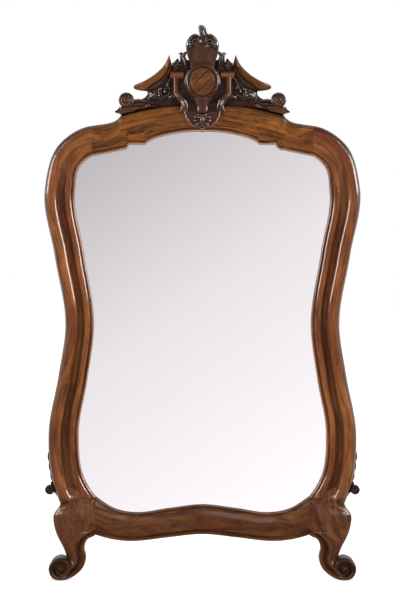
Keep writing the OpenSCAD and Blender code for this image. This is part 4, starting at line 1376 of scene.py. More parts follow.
@dataclass
class ScrollFeet:
    """Feet that swell to a knee, narrow to an ankle and curl outward into a scroll."""

    lines: Lines
    work: FrameWork
    scroll_r: float = 36
    scroll_half: float = 424
    foot_d: float = 84
    knee_d: float = 76
    edge_d: float = 48
    bead_w: float = 11.5
    rail_u: float = 3
    # Painted shade over the scroll and over its eye.
    scroll_painted_shade: float = 0.75
    eye_painted_shade: float = 0.5
    fineness: int = 14

    @property
    def centre(self) -> Array:
        """Middle of the right scroll."""
        return np.array([self.scroll_half, self.scroll_r - 0.8])

    def coil(self, shares: Sequence[float]) -> Array:
        """Places round the scroll, an eighth of a turn apart, from shares of its radius."""
        eighths = turned(270 + 45 * np.arange(len(shares)))
        return self.centre + self.scroll_r * np.array(shares)[:, None] * eighths

    def edges(self) -> tuple[list[Pair], list[Pair], list[Pair]]:
        """Knots down the right foot and round its scroll.

        Returns:
            Its inner edge and its outer edge in rows of [x, z], and rows of [crown's depth, edges' depth].
        """
        lines, (middle, low) = self.lines, self.centre
        seam, top, corner = lines.foot_seam_half, lines.foot_h, lines.rail_clear - 2
        knee = seam + lines.knee_w
        inner = [(seam, top), (seam, top - 32), (seam, top - 80), (seam, corner), (seam + 24, corner - 14),
                 (middle - 68, mix(low, corner, 0.62)), (middle - 73, low + 30),
                 (middle - self.scroll_r - 29, low), (middle - 42, low - 23),
                 *self.coil([1, 1, 1, 1, 0.98, 0.92, 0.80, 0.65, 0.53, 0.50, 0.47])]
        outer = [(knee, top), (knee - 8, top - 16), (knee + 11, top - 52), (knee + 8, top - 88),
                 (knee - 4, mix(low, corner, 0.90)), (knee - 17, mix(low, corner, 0.64)),
                 (middle - 16, low + 34), (middle - 22, low + 9), (middle - 16, low - 10),
                 *self.coil([0.57, 0.58, 0.59, 0.59, 0.58, 0.55, 0.46, 0.36, 0.28, 0.25, 0.24])]
        f, k, d, e = self.work.frame_d, self.knee_d, self.foot_d, self.edge_d
        depths = [(f + 2, e), (f + 4, e - 4), (k, e + 2), (k - 2, e), (k - 8, e - 6), (k - 13, e - 10),
                  (k - 14, e - 10), (d - 12, e - 4), (d - 5, e + 10), (d - 2, e + 18), *[(d, e + 22)] * 5,
                  *[(d - 1, e + 22)] * 6]
        return inner, outer, depths

    def form(self) -> Form:
        """Right foot, which takes up the bottom rail's bead beside it and the stile's moulding over it.

        Returns:
            Its form.
        """
        lines, sections, tones = self.lines, [], []
        seam, top, corner = lines.foot_seam_half, lines.foot_h, lines.rail_clear - 2
        inner, outer, depths = self.edges()
        last = len(inner) - 1
        s = np.unique(np.concatenate([steps(0, 1, 60), 0.5 - 0.5 * np.cos(np.pi * steps(0, 1, 30))]))
        rail = self.work.cushion(top - corner)
        moulding, shade = self.work.stile_section(lines.last_u, lines.knee_w, 1)
        moulding, shade = moulding[2:-3], np.maximum(shade[2:-3], 0)
        xs = steps(seam - 120, seam, 40)[:-1]
        under = np.stack([xs, lines.underside(xs)], -1)
        edge_u = steps(self.rail_u, last, (last - self.rail_u) * self.fineness + 1)
        edge_line = curve(inner, edge_u)
        for u in steps(0, last, last * self.fineness + 1):
            start, end = curve(inner, u)[0], curve(outer, u)[0]
            if u <= self.rail_u:
                start = np.array([seam, start[1]])
            crown, edge = curve(depths, u)[0]
            places = start + s[:, None] * (end - start)
            z = places[:, 1]
            d = mix(edge, crown, swell(2 * s - 1, 2.4))

            # The rail's face runs on over the knee
            beside = mix(np.interp(z - corner, rail[:, 0], rail[:, 1]), crown, ease(s / 0.5))
            joined = float(1 - ease((u - 2.9) / 1.4))
            d = np.where(s < 0.5, mix(d, beside, joined), d)

            # The rail's lower bead follows the inner edge down to the scroll
            near = edge_line[np.abs(edge_u - u) < 1.1]
            if u < 4.4:
                near = np.concatenate([under, near])
            gaps = np.linalg.norm(places[:, None] - near[None], axis=-1).min(1)
            off = gaps / mix(1, 1.55, ease((u - self.rail_u) / 2))
            bead = np.interp(off, rail[:, 0], rail[:, 1]) + float(edge - self.edge_d) * ease((u - 6) / 3)
            here = float(ease((u - 1.6) / 1.2) * (1 - ease((u - 8.4) / 1.4)))
            d = mix(d, bead, here * (1 - ease((off - self.bead_w) / 9)))

            # Two fine grooves lie under the rail's joint, and a notch dips to the outer edge
            lip = bump(z, top - 3, 1.5) + bump(z, top - 11, 1.7)
            d = d - 3.2 * lip * ease((s - 0.06) / 0.1) * (1 - ease((s - 0.45) / 0.16))
            notch = top - 4 - 12 * ease((s - 0.5) / 0.42)
            outside = ease((s - 0.48) / 0.3)
            d = d - 9 * outside * bump(z, notch, 4.5) + 4 * outside * bump(z, notch - 13, 8)

            # The top takes the stile's moulding
            topmost, across = float(1 - ease(u / 0.8)), (1 - s) * lines.knee_w
            d = mix(d, np.interp(across, moulding[:, 0], moulding[:, 1]), topmost)
            # The top keeps the stile's painted shade, and painted shade darkens the scroll toward its end.
            tone = topmost * np.interp(across, moulding[:, 0], shade)
            tone = tone + self.scroll_painted_shade * ease((u - 8.5) / 3)
            w = float(np.linalg.norm(end - start))
            sections.append((start, end, backed(np.stack([s * w, d], -1), w, 0)))
            tones.append([tone[0], *tone, tone[-1]])
        rings, grain = swept(sections)
        rings[:, :, 2] = np.maximum(rings[:, :, 2], 0)
        grain[:, :, 0] *= -1
        # The scroll's two buttons are darkened as painted shade.
        form = Form().loft(rings, grain, tones=tones).toned(self.eye_painted_shade)
        form.button(self.centre, round_of(0.62 * self.scroll_r), level(self.foot_d - 15), 0.7, 48, 3)
        eye = round_of(0.26 * self.scroll_r)
        return form.button(self.centre, eye, lambda share, a: self.foot_d - 3 - 5 * share ** 3, 60, 48, 8)

    def build(self) -> None:
        """Makes both feet."""
        self.form().make_pair("scroll_foot", BURR, "foot", Slot.WALNUT)


@dataclass
class SideScrolls:
    """Thin carved leaves up the outer edges of the stiles, each over a small volute."""

    lines: Lines
    volute_r: float = 15
    volute_u: float = 7.3
    thick: float = 20
    first_u: float = 6.35
    last_u: float = 7.95
    lobed_u: float = 6.95
    lobe_u: float = 0.2

    def form(self) -> Form:
        """Right leaf and volute.

        Returns:
            Its form.
        """
        lines, us = self.lines, steps(self.first_u, self.last_u, 97)
        lobes = 1.5 + 3 * np.abs(np.sin(np.pi * (us - self.first_u) / self.lobe_u))
        wide = np.where(us < self.lobed_u, lobes, mix(8, 2, ease((us - 7.35) / 0.6)))
        edge, side = lines.outer(us), lines.outer_side(us)
        outline = np.concatenate([edge + SEAT * side, (edge + (SEAT + wide)[:, None] * side)[::-1]])
        centre = (lines.outer(self.volute_u) + (self.volute_r + 1) * lines.outer_side(self.volute_u))[0]
        volute = volute_face(self.thick + 6, 6, 1.6, 1, 200)
        form = Form().plaque(outline, 0, self.thick, 1, 90)
        return form.button(centre, round_of(self.volute_r), volute, 0.6, 64, 26)

    def build(self) -> None:
        """Makes both."""
        self.form().make_pair("side_leaf", CARVED, "side_scroll", Slot.DARK)


@dataclass
class Crest:
    """Broken pediment: a sawn ground with wings, volutes, foliage and a cartouche planted on it."""

    lines: Lines
    ground_back: float = 14
    ground_t: float = 22
    wing_t: float = 26
    wing_w: float = 42
    wing_tip_up: float = 145
    wing_tip_half: float = 100
    wing_nose_half: float = 208
    wing_nose_up: float = 54
    volute_r: float = 23
    volute_half: float = 228
    stem_half: float = 128
    ring_half_w: float = 49
    ring_half_h: float = 50
    band_w: float = 11.5
    band_h: float = 7.5
    boss_up: float = 62
    cartouche_d: float = 74
    head_up: float = 170
    head_scroll_r: float = 18
    bracket_front: float = 66
    overlay: float = 64.3
    crest_h: float = 234
    rosette_out: float = 21
    rosette_drop: float = 8
    boss_band_half: float = 10.6
    boss_band_lean: float = 47
    bowl_r: float = 54
    bowl_up: float = -22
    shell_up: float = -50

    def __post_init__(self) -> None:
        """Works out the depths and the lines that several carvings share."""
        lines = self.lines
        self.ground_front = self.ground_back + self.ground_t
        self.body_front = self.cartouche_d - 8
        self.body_half = self.ring_half_w + 5
        self.shelf_up = -lines.shelf_drop
        self.volute_up = self.shelf_up + 21 + self.volute_r
        self.plinth_out = self.volute_half + 16
        self.plinth_in = self.volute_half - 28
        self.neck_up = self.boss_up + self.ring_half_h + 10
        out, down = np.array([[0, 0], [0.12, 0.30], [0.38, 0.62], [0.70, 0.86], [1, 1]]).T
        self.wing_upper = self.up(np.stack([mix(self.wing_tip_half, self.wing_nose_half, out),
                                            mix(self.wing_tip_up, self.wing_nose_up, down)], -1))
        falls = self.wing_w * np.array([[0.08], [0.60], [0.95], [0.76], [0.30]])
        self.wing_lower = self.wing_upper + falls * turned([-120, -150, -133, -112, -100])

    def stem_top(self, xs: Any) -> Array:
        """Height of the upper edge of the stem that runs in from a volute."""
        return self.lines.rail_top(xs) + mix(10, 38, ease((xs - self.stem_half) / 75))

    def on_rail(self, xs: Array) -> Array:
        """Seat on the arch at the given distances from the centre line."""
        return np.stack([xs, self.lines.rail_top(xs) + SEAT], -1)

    def up(self, points: Any) -> Array:
        """Places whose last number is given as the height above the arch.

        Args:
            points: Rows that end in the height above the arch, or one row.

        Returns:
            The rows with their z.
        """
        placed = np.array(points, float)
        placed[..., -1] += self.lines.crest_z
        return placed

    def ground(self) -> Form:
        """Sawn board that stands on the arch.

        Returns:
            Its form.
        """
        v, up, neck, body = self.volute_half, self.volute_up, self.neck_up, self.body_half
        tip, tip_up = self.wing_tip_half, self.wing_tip_up
        flank = [(v + 14, up - 8), (v, up + 4), (v - 22, up + 5), (v - 46, up + 6), (v - 57, up + 12),
                 (v - 63, up + 22), (v - 61, up + 31)]
        us = steps(3.6, 0.8, 30)
        under = mix(curve(self.wing_upper, us), curve(self.wing_lower, us), 0.6)
        back = [(tip - 8, tip_up - 27), (tip - 14, neck - 12), (body + 10, neck - 12), (body - 8, neck - 10),
                (0, neck - 10)]
        half = [self.on_rail(steps(0, self.plinth_out + 0.5, 60)), smooth(self.up(flank), 6), under[1:],
                smooth(self.up(back), 4)[1:]]
        form = Form().toned(0.1)
        form.plaque(both_halves(np.concatenate(half)), self.ground_back, self.ground_front, 0.8)
        for x in (-v, v):
            form.button(self.up([x, up]), round_of(self.volute_r - 2), level(self.ground_front - 0.2),
                        self.ground_back + 0.6, 64, 3)
        return form

    def wing(self) -> Form:
        """Right wing: a broad band that turns up to a tip and out to a nose, over a fluted second band.

        Returns:
            Its form.
        """
        first = smooth([(0, 0.10), (0.02, 0.46), (0.07, 0.76), (0.19, 0.95), (0.36, 1), (0.60, 0.90),
                        (0.80, 0.76), (0.92, 0.62), (1, 0.42)], 3)
        second = smooth([(0, 0.40), (0.05, 0.54), (0.16, 0.58), (0.40, 0.50), (0.70, 0.38), (0.90, 0.28),
                         (1, 0.10)], 3)
        sections, tones = [], []
        for u in steps(0, 4, 145):
            start, end = curve(self.wing_upper, u)[0], curve(self.wing_lower, u)[0]
            blunt = 0.5 - 0.5 * math.sqrt(1 - max(0.0, (u - 3.72) / 0.285) ** 2)
            start, end = mix(start, end, blunt), mix(end, start, blunt)
            w = float(np.linalg.norm(end - start))
            t = self.wing_t * mix(0.35, 1, min(1.0, w / (0.7 * self.wing_w)))
            share = mix(0.60, 0.985, float(ease((u - 2.5) / 0.9)))
            flutes = 0.05 * np.sin(2 * np.pi * (u * 8 + 1.4 * second[:, 0])) * np.sin(np.pi * second[:, 0])
            q = np.concatenate([first[:, 0] * share, share + (1 - share) * (0.02 + 0.98 * second[:, 0])])
            rise = np.concatenate([first[:, 1], second[:, 1] + flutes])
            front = np.stack([q * w, self.ground_front + rise * t], -1)
            shade = 0.26 + 0.5 * (1 - ease(q / 0.14)) + 0.8 * bump(q, share, 0.045)
            shade = shade + 0.58 * ease((q - share) / 0.05)
            shade = shade + 0.35 * float(ease((u - 3.6) / 0.3)) * ease((q - 0.5) / 0.4)
            sections.append((start, end, backed(front, w, self.ground_front)))
            tones.append([0.3, *shade, 0.3])
        return Form().sweep(sections, tones)

    def end_volute(self) -> Form:
        """Right plinth with a hooked lip, the volute on it and the ribbed stem that runs in from it.

        Returns:
            Its form.
        """
        inner, out, up, front = self.plinth_in, self.plinth_out, self.shelf_up, self.ground_front
        lip = smooth(self.up([(out + 5, up + 4), (out + 19, up + 9), (out + 10, up + 16), (out + 4, up + 24),
                              (out - 1, up + 23)]), 5)
        plinth = np.concatenate([self.on_rail(steps(inner, out, 14)), lip, self.up([(inner, up + 23)])])
        slab = self.up([(out + 2, up + 17), (out + 1, up + 24), (inner - 2, up + 24), (inner - 2, up + 17)])
        form = Form().plaque(plinth, front, front + 24, 3)
        form.plaque(refined(slab, 8), front + 10, front + 27, 2.5)
        q = steps(0, 1, 41)
        ribs = swell(2 * q - 1, 6) * (0.45 + 0.55 * np.abs(np.cos(np.pi * (q * 3 - 0.5))) ** 0.7)
        sections = []
        for x in steps(self.volute_half, self.stem_half, 60):
            foot, high = self.on_rail(np.array([x]))[0], self.stem_top(np.array([x]))[0]
            w = high - foot[1]
            stem = np.stack([q * w, front + mix(5, 17, min(1.0, w / 30)) * ribs], -1)
            sections.append((foot, np.array([x, high]), backed(stem, w, front)))
        form.sweep(sections)
        centre = self.up([self.volute_half, self.volute_up])
        volute = volute_face(front + 26, 5, 1.4, -1, 230, 0.36)
        form.button(centre, round_of(self.volute_r), volute, front, 84, 30)
        for x, rise, r in ((168, -10, 5), (176, -13, 3.5), (160, -7, 3.5)):
            form.button(self.up([x, rise]), round_of(r), domed(front + 15, r), front, 24, 8)
        return form

    def frond(self, form: Form, root: Pair, turn: float, length: float, width: float, rise: float,
              bend: float, leaflets: int = 4) -> None:
        """Adds a blade with a sunk vein and pairs of leaflets along it.

        Args:
            form: The form that it joins.
            root: Where it springs from, as [distance from the centre line, height above the arch].
            turn: Direction in degrees.
            length: Its length.
            width: Its width.
            rise: How far it stands off the ground board.
            bend: Turn along its length in degrees.
            leaflets: Pairs of leaflets.
        """
        parts = 21
        t = steps(0, 1, parts + 1)
        way = turned(turn + bend * t)
        path = np.cumsum(way * length / parts, 0)
        path = self.up(root) + path - path[0]
        half = width / 2 * (0.25 + 1.5 * np.sqrt(t)) * (1.04 - t)
        arch = rise * (0.6 + 0.55 * np.sin(np.pi * np.clip(t * 0.9 + 0.1, 0, 1))) * (1.05 - 0.5 * t)
        edge = [(0.15, 0.72), (0.45, 1), (0.75, 0.85), (0.96, 0.45), (1, 0)]
        rings = [laid(path + (q * half)[:, None] * left_of(way), self.ground_front - 0.5 + h * arch)
                 for q, h in [*((-q, h) for q, h in edge[::-1]), (0, 0.5), *edge]]
        form.loft(np.array(rings).transpose(1, 0, 2), turn=turn)
        for j in range(leaflets):
            i = int(mix(3, 15, j / max(1, leaflets - 1)))
            share = j / leaflets
            spring, along = path[i] - [0, self.lines.crest_z], turn + bend * t[i]
            for s in (-1, 1):
                self.frond(form, spring, along + s * mix(62, 40, share), length * mix(0.36, 0.22, share),
                           width * 0.40, float(arch[i]) * 0.95, s * -28, 0)

    def foliage(self) -> Form:
        """Right foliage, which springs from the stem and curls up under the wing.

        Returns:
            Its form.
        """
        over, front = steps(164, 134, 6), self.ground_front
        plate = np.concatenate([
            self.up([(90.5, 1), (90.5, 68), (94.5, 69), (94.5, 92)]),
            curve(self.wing_lower, steps(1.3, 2.8, 7)) - [1, 1.2], self.up([(161, 37), (160, 29), (162, 20)]),
            np.stack([over, self.stem_top(over) + 1], -1), self.up([(self.stem_half - 1, 1)])])
        form = Form().plaque(refined(plate, 4), front - 0.5, front + 4, 1)
        for frond in (((98, 73), -76, 44, 7, 22, 6, 0), ((115, 14), 104, 62, 9, 23, 3, 0),
                      ((104, 10), 84, 40, 15, 14, 14), ((121, 8), 70, 44, 17, 17, 16),
                      ((131, 12), 46, 36, 17, 16, -12), ((141, 15), 18, 23, 13, 13, 10),
                      ((126, 12), 166, 26, 13, 14, -20), ((148, 14), 66, 24, 12, 12, 24)):
            self.frond(form, *frond)
        berries = ((108, 21, 5), (113, 34, 5), (127, 40, 6), (143, 26, 4.5), (133, 22, 4), (101, 44, 4))
        for x, up, r in berries:
            form.button(self.up([x, up]), round_of(r), domed(front + 13, 5), front, 24, 8)
        return form

    def rosette(self) -> Form:
        """Right knot of curled leaves round an eye.

        Returns:
            Its form.
        """
        x, up = self.body_half + self.rosette_out, self.neck_up - self.rosette_drop
        front = self.ground_front
        form = Form().toned(0.2)
        form.button(self.up([x, up]), round_of(15), level(front + 6), front, 40, 4)
        outer = ((80, 22, 15), (150, 20, 20), (222, 19, 15), (295, 18, 20), (8, 18, 17))
        for turn, reach, rise in outer:
            self.frond(form, (x, up), turn, reach, 23, rise, 26, 0)
        for turn in (60, 180, 300):
            self.frond(form, (x, up), turn, 12, 11, 23, 30, 0)
        eye = self.up([x - 1, up])
        return form.button(eye, round_of(4.2), lambda share, a: front + 21 - 5 * share ** 2, front, 24, 8)

    def roll(self, form: Form, a: Pair, b: Pair, half: float, back: float, front: float) -> None:
        """Adds a straight half-round bar.

        Args:
            form: The form that it joins.
            a: Its first end, as [distance from the centre line, height above the arch].
            b: Its other end.
            half: Half its width.
            back: Depth of its back.
            front: Depth of its crown.
        """
        start, end = self.up(a), self.up(b)
        way = unit(end - start)
        q = np.cos(np.radians(steps(0, 180, 33)))
        rings = []
        for share in [0, 0.02, 0.06, *steps(0.12, 0.88, 14), 0.94, 0.98, 1]:
            rounding = min(1.0, 0.72 + 5 * min(share, 1 - share))
            flat = mix(start, end, share) + (q * half)[:, None] * left_of(way)
            rings.append(laid(flat, back + (front - back) * rounding * swell(q, 2.4)))
        form.loft(np.array(rings), turn=math.degrees(math.atan2(way[1], way[0])))

    def bracket(self) -> Form:
        """Right bracket: a shoulder bar and a strap beside the oval.

        Returns:
            Its form.
        """
        form, back, front = Form().toned(0.22), self.ground_front, self.bracket_front
        self.roll(form, (self.body_half + SEAT, 83), (97, 83), 11, back, front - 7)
        self.roll(form.toned(0.5), (80, 80), (80, 17), 10, back, front - 4)
        return form

    def bracket_foot(self) -> Form:
        """S-curved foot of the right bracket, in front of the arch.

        Returns:
            Its form.
        """
        outer = self.up([(89, 26), (82, 14), (72, 4), (64.5, -10), (70, -28)])
        inner = self.up([(70, 28), (61, 19), (49, 7), (42.5, -10), (44, -28)])
        profile = smooth([(0, 0.1), (0.03, 0.5), (0.09, 0.88), (0.18, 1), (0.30, 0.94), (0.45, 0.78),
                          (0.65, 0.66), (0.85, 0.55), (0.95, 0.4), (1, 0.1)], 3)
        form = Form().toned(0.12)
        for last_u, back, front in ((1.6, self.ground_front, self.bracket_front + 2),
                                    (4, self.overlay, self.overlay + 12)):
            sections = []
            for u in steps(0, last_u, int(last_u * 16) + 1):
                start, end = curve(outer, u)[0], curve(inner, u)[0]
                w = float(np.linalg.norm(end - start))
                section = backed(np.stack([profile[:, 0] * w, mix(back, front, profile[:, 1])], -1), w, back)
                sections.append((start, end, section))
            form.sweep(sections)
        hook = self.up([(101, 56, 9), (98, 60, 15), (91, 64, 18), (84, 66, 16)])
        return form.limb(hook, (2.2, 3.6, 4.2, 3), 6, 0.9, 20)

    def cartouche(self) -> Form:
        """Body behind the oval, its neck and the tongue that laps over the arch.

        Returns:
            Its form.
        """
        w, neck, head = self.body_half, self.neck_up, self.head_up
        arc = turned(steps(-62, 50, 40)) * [w, self.ring_half_h + 5] + [0, self.boss_up]
        flank = smooth([arc[-1], (0.70 * w, neck), (0.80 * w, mix(neck, head, 0.29)),
                        (0.87 * w, mix(neck, head, 0.58)), (0.93 * w, head)], 6)
        half = np.concatenate([[(0, SEAT), (22, SEAT)], arc, flank[1:], [(0, head)]])
        form = Form().toned(0.3).plaque(self.up(both_halves(half)), self.ground_front, self.body_front, 4, 90)
        panel = [(24, neck - 6), (27, neck + 8), (33, neck + 28), (40, head + 10)]
        tongue = [(33, 15), (26, 7), (20.5, -3), (17.5, -14), (17, -24), (15, -34)]
        form.toned(0.1).loft(self.upright(panel, self.body_front - 2, 6, 0.5), turn=90)
        return form.loft(self.upright(tongue, self.overlay, 12, 0.98), turn=90)

    def upright(self, edge: Sequence[Pair], back: float, rise: float, plain: float) -> Array:
        """Rings of an upright panel with a flute on each side of its plain middle.

        Args:
            edge: Its right edge, as [distance from the centre line, height above the arch].
            back: Depth of its back.
            rise: How far it stands off its back.
            plain: Share of its width without flutes.

        Returns:
            The rings.
        """
        places = smooth(edge, 8)
        q = steps(1, -1, 61)
        flute = np.clip((np.abs(q) - plain) / (1 - plain), 0, 1)
        crown = rise * swell(q, 3) * (1 - 0.22 * np.sin(np.pi * flute) ** 2)
        rings = []
        for i, (w, up) in enumerate(places):
            end = min(1.0, 0.35 + min(i, len(places) - 1 - i) / 5)
            front = [(x, d, up) for x, d in zip(q * w, back + crown * end)]
            rings.append(self.up([(w, back, up), *front, (-w, back, up)])[::-1])
        return np.array(rings)

    def ears(self) -> Form:
        """Dark leaves that rise beside the neck and hook outward.

        Returns:
            Its form.
        """
        leaf = [(46, 47, 96), (51, 50, 108), (55, 52, 120), (58, 54, 132), (61, 54, 141), (66, 53, 147),
                (71, 51, 146.5)]
        curl = [(59, 56, 138), (54, 57, 145), (49, 57, 149.5), (45, 57, 149)]
        web = [(33, 100), (64, 100), (63, 127), (50, 131), (43, 130), (34, 124)]
        form = Form().toned(0.72)
        for s in (-1, 1):
            form.limb(self.up(leaf) * [s, 1, 1], (8, 10.5, 11, 10, 8.5, 6, 2), 5, 0.9, 36, 4, 0.28, 40)
            form.limb(self.up(curl) * [s, 1, 1], (6, 5.5, 4.4, 1.8), 5, 0.9, 18)
            form.plaque(refined(self.up(web) * [s, 1], 6), self.ground_front, 50, 4)
        return form

    def head(self) -> Form:
        """Head of the cartouche: two great lobes that curl in over deep eyes.

        Returns:
            Its form.
        """
        low, high, front = self.head_up, self.head_up + self.head_scroll_r, self.body_front
        half = smooth([(0, low), (30, low - 1), (50, low - 3), (49, low + 9), (45, high + 1), (36, high + 11),
                       (25, high + 17.5), (16, high + 15), (12, high + 8), (0, high + 7)], 5)
        form = Form().toned(0.15).plaque(self.up(both_halves(half)), self.ground_front + 4, front - 6, 6)
        lobe = [(-50, 30), (-25, 31), (-6, 27.5), (19, 24.5), (55, 24.5), (86, 27), (110, 26), (132, 22.5),
                (155, 18.5), (189, 17), (215, 15), (250, 11.5), (285, 15), (310, 30)]
        turns, reach = np.array(lobe).T
        for s in (-1, 1):
            def radius(angle: Array, s: int = s) -> Array:
                """Distance from the eye to the lobe's edge."""
                right = angle if s > 0 else 180 - angle
                return np.interp((right + 50) % 360 - 50, turns, reach)

            def face(share: Array, angle: Array, s: int = s) -> Array:
                """Depth over the lobe's roll, its veins and its eye.

                Args:
                    share: Share of the radius.
                    angle: Angle in degrees.
                    s: 1 for the right lobe and -1 for the left.

                Returns:
                    The depth at each.
                """
                right = (angle if s > 0 else 180 - angle) % 360
                roll = 9 * bump(share, 0.70, 0.24) - 8 * bump(share, 0, 0.17) + 3 * bump(share, 0.30, 0.10)
                veins = 1.5 * np.abs(np.sin(np.radians(right * 4))) ** 0.6 * bump(share, 0.62, 0.24)
                fall = 9 * np.clip((share - 0.86) / 0.14, 0, 1) ** 2
                return front + 1 + roll - veins - 6 * bump(right, 235, 40) * share - fall

            form.button(self.up([s * 22, high - 8]), radius, face, self.ground_front + 4.7, 120, 40)
        crown = self.up([(0, 60, 166), (0, 70, 172), (0, 73, 180), (0, 70, 190), (0, 64, 198), (0, 60, 204)])
        return form.toned(0).tube(crown, np.array([4.0, 8, 9.5, 9, 8, 7]), 0.7, 30, 5, 0.22)

    def finial(self) -> Form:
        """Fat flame leaf, cut with scales, that leans over to the left.

        Returns:
            Its form.
        """
        base = self.head_up + self.head_scroll_r + 9
        knots = [(3.6, 55, 0), (3.8, 55, 0.2), (2.5, 56, 0.4), (0, 57, 0.57), (-3.5, 57, 0.74),
                 (-5.6, 58, 0.88), (-6.2, 58, 0.97)]
        path = self.up(np.array(knots) * [1, 1, self.crest_h - base] + [0, 0, base])
        radii = (11.5, 12.5, 12.5, 12, 11, 8.5, 1.5)
        return Form().toned(0.1).limb(path, radii, 8, 0.85, 60, 7, 0.30, 50, 6)

    def ring(self) -> Form:
        """Oval ring with a broad outer roll and a fine inner one.

        Returns:
            Its form.
        """
        q = np.concatenate([steps(1, 0.36, 18), steps(0.34, 0, 9)])
        outer = 9 * np.maximum(swell((q - 0.68) / 0.33, 2), math.sqrt(0.03))
        inner = 5.5 * np.maximum(swell((q - 0.16) / 0.185, 2), math.sqrt(0.05))
        section = backed(np.stack([q, np.where(q > 0.35, outer, inner)], -1)[::-1], 1, 0)[::-1]
        reach = np.array([self.ring_half_w, self.ring_half_h]) + 1
        reach = reach - (1 - section[:, :1]) * [self.band_w, self.band_h]
        rings = [laid(self.up(reach * turned(a) + [0, self.boss_up]), self.body_front + section[:, 1])
                 for a in steps(0, 360, 145)[:-1]]
        return Form().loft(np.array(rings), closed=True)

    def boss(self) -> Form:
        """Domed oval with a bare band laid across it.

        Returns:
            Its form.
        """
        w, h = self.ring_half_w - self.band_w - SEAT, self.ring_half_h - self.band_h - SEAT
        across = turned(self.boss_band_lean + 90)

        def face(share: Array, angle: Array) -> Array:
            """Depth over the dome and its band.

            Args:
                share: Share of the radius.
                angle: Angle in degrees.

            Returns:
                The depth at each.
            """
            off = np.abs(share[:, None] * turned(angle) * [w, h] @ across)
            inside = 1 - ease((share - 0.80) / 0.05)
            half = self.boss_band_half
            band = 1 - ease((off - half) / 0.8) - 3.2 * bump(off, half + 1.4, 1.7)
            dome = 8 * np.sqrt(1 - 0.8 * share ** 2)
            return self.body_front + dome + band * inside + 2.6 * swell((share - 0.91) / 0.085, 2)

        def radius(angle: Array) -> Array:
            """Oval edge."""
            return 1 / np.linalg.norm(turned(angle) / [w, h], axis=1)

        centre = self.up([0, self.boss_up])
        return Form().toned(0.34).button(centre, radius, face, self.body_front, 180, 60, 10)

    def bowl(self) -> Form:
        """Shallow bowl with a raised rim under the tongue, and a sheet darkened as painted shade behind the
        tongue.

        Returns:
            Its form.
        """
        r, up = self.bowl_r, self.bowl_up
        arc = turned(steps(-172, -8, 60)) * r + [0, up]
        plate = np.concatenate([arc, [(r - 8, up - 6), (8 - r, up - 6)]])
        painted_shade_sheet = self.up([(-41, -26), (41, -26), (41, -1.5), (-41, -1.5)])
        form = Form().toned(0.2).plaque(self.up(plate), self.overlay, self.overlay + 3, 1.5)
        # A near-black sheet stands for the shade behind the tongue; the two rims after it are paled as
        # painted highlights.
        form.toned(0.8).plaque(painted_shade_sheet, self.overlay - 2.8, self.overlay - 0.3, 0.8).toned(-0.6)
        for s in (-1, 1):
            rim = self.up(turned(steps(-7, -70, 34)) * [s * r, r] + [0, up])
            form.tube(laid(rim, self.overlay + 5), steps(3.2, 2.4, 34), 1.8, 16)
        return form

    def shell(self) -> Form:
        """Shell drop: a middle tongue between fluted petals.

        Returns:
            Its form.
        """
        half = smooth([(0, -35), (9, -33), (18, -36), (26, -44), (28, -54), (24, -64), (18, -71), (9, -76),
                       (5, -79), (0, -80)], 6)
        hinge = np.array([0, self.shell_up])
        spokes = both_halves(half) - hinge
        turns = np.degrees(np.arctan2(spokes[:, 1], spokes[:, 0])) % 360
        order = np.argsort(turns)

        def radius(angle: Array) -> Array:
            """Distance from the shell's hinge to its edge."""
            return np.interp(angle, turns[order], np.linalg.norm(spokes, axis=1)[order], period=360)

        def face(share: Array, angle: Array) -> Array:
            """Depth over the shell's ribs."""
            ribs = 6 * np.abs(np.cos(np.radians(angle - 270) * 5)) ** 0.6 * np.clip(share * 1.6, 0, 1)
            return self.overlay + 4 + swell(share, 6) * (4 + ribs)

        tongue = self.up([(0, 8, -40), (0, 11, -46), (0, 12, -54), (0, 11, -62), (0, 9, -72), (0, 6, -79)])
        form = Form().button(self.up(hinge), radius, face, self.overlay, 180, 34)
        return form.tube(tongue + [0, self.overlay, 0], np.array([4.0, 6.5, 7, 6, 4.5, 2]), 0.8, 20)

    def build(self) -> None:
        """Makes the crest's pieces."""
        walnut, dark, figured = Slot.WALNUT, Slot.DARK, Slot.FIGURED
        self.ground().make("crest_board", DUSKY, "crest_ground", slot=dark)
        self.wing().make_pair("pediment_wing", FIGURED, "wing", figured)
        self.end_volute().make_pair("end_scroll", DUSKY, "end_volute", dark)
        self.foliage().make_pair("leaf_cluster", CARVED, "foliage", dark, fuse=0.9, grain_turn=70)
        self.rosette().make_pair("leaf_knot", CARVED, "rosette", dark, fuse=0.8)
        self.bracket().make_pair("strap_bracket", RED, "bracket", walnut)
        self.bracket_foot().make_pair("bracket_foot", DUSKY, "bracket", walnut)
        for form, name, finish, node, slot in (
                (self.cartouche(), "cartouche_body", DUSKY, "cartouche", walnut),
                (self.ears(), "cartouche_ears", CARVED, "cartouche", walnut),
                (self.head(), "scrolled_head", CARVED, "cartouche_head", dark),
                (self.finial(), "flame_finial", CARVED, "finial", dark),
                (self.ring(), "oval_moulding", DUSKY, "oval_ring", walnut),
                (self.boss(), "banded_boss", FIGURED, "oval_boss", figured),
                (self.bowl(), "pendant_bowl", DUSKY, "pendant", dark),
                (self.shell(), "pendant_shell", DUSKY, "pendant", dark)):
            form.make(name, finish, node, slot=slot)


@dataclass
class Glazing:
    """Mirror plate, silvered on its back."""

    lines: Lines
    plate_t: float = 4
    plate_lap: float = 11
    rebate_d: float = 18
    bevel: float = 1

    def build(self) -> None:
        """Makes the plate."""
        back = self.rebate_d - self.plate_t
        form = Form().plaque(self.lines.opening(self.plate_lap), back, self.rebate_d, self.bevel)
        plate = form.make("mirror_glass_plate", PLATE, "mirror_plate", slot=Slot.GLASS, sharp=20)
        plate.data.materials.append(PAINT.material())
        for face in plate.data.polygons:
            face.material_index = int(abs(face.center.y / MM - BACK_Y + back) < 0.1)


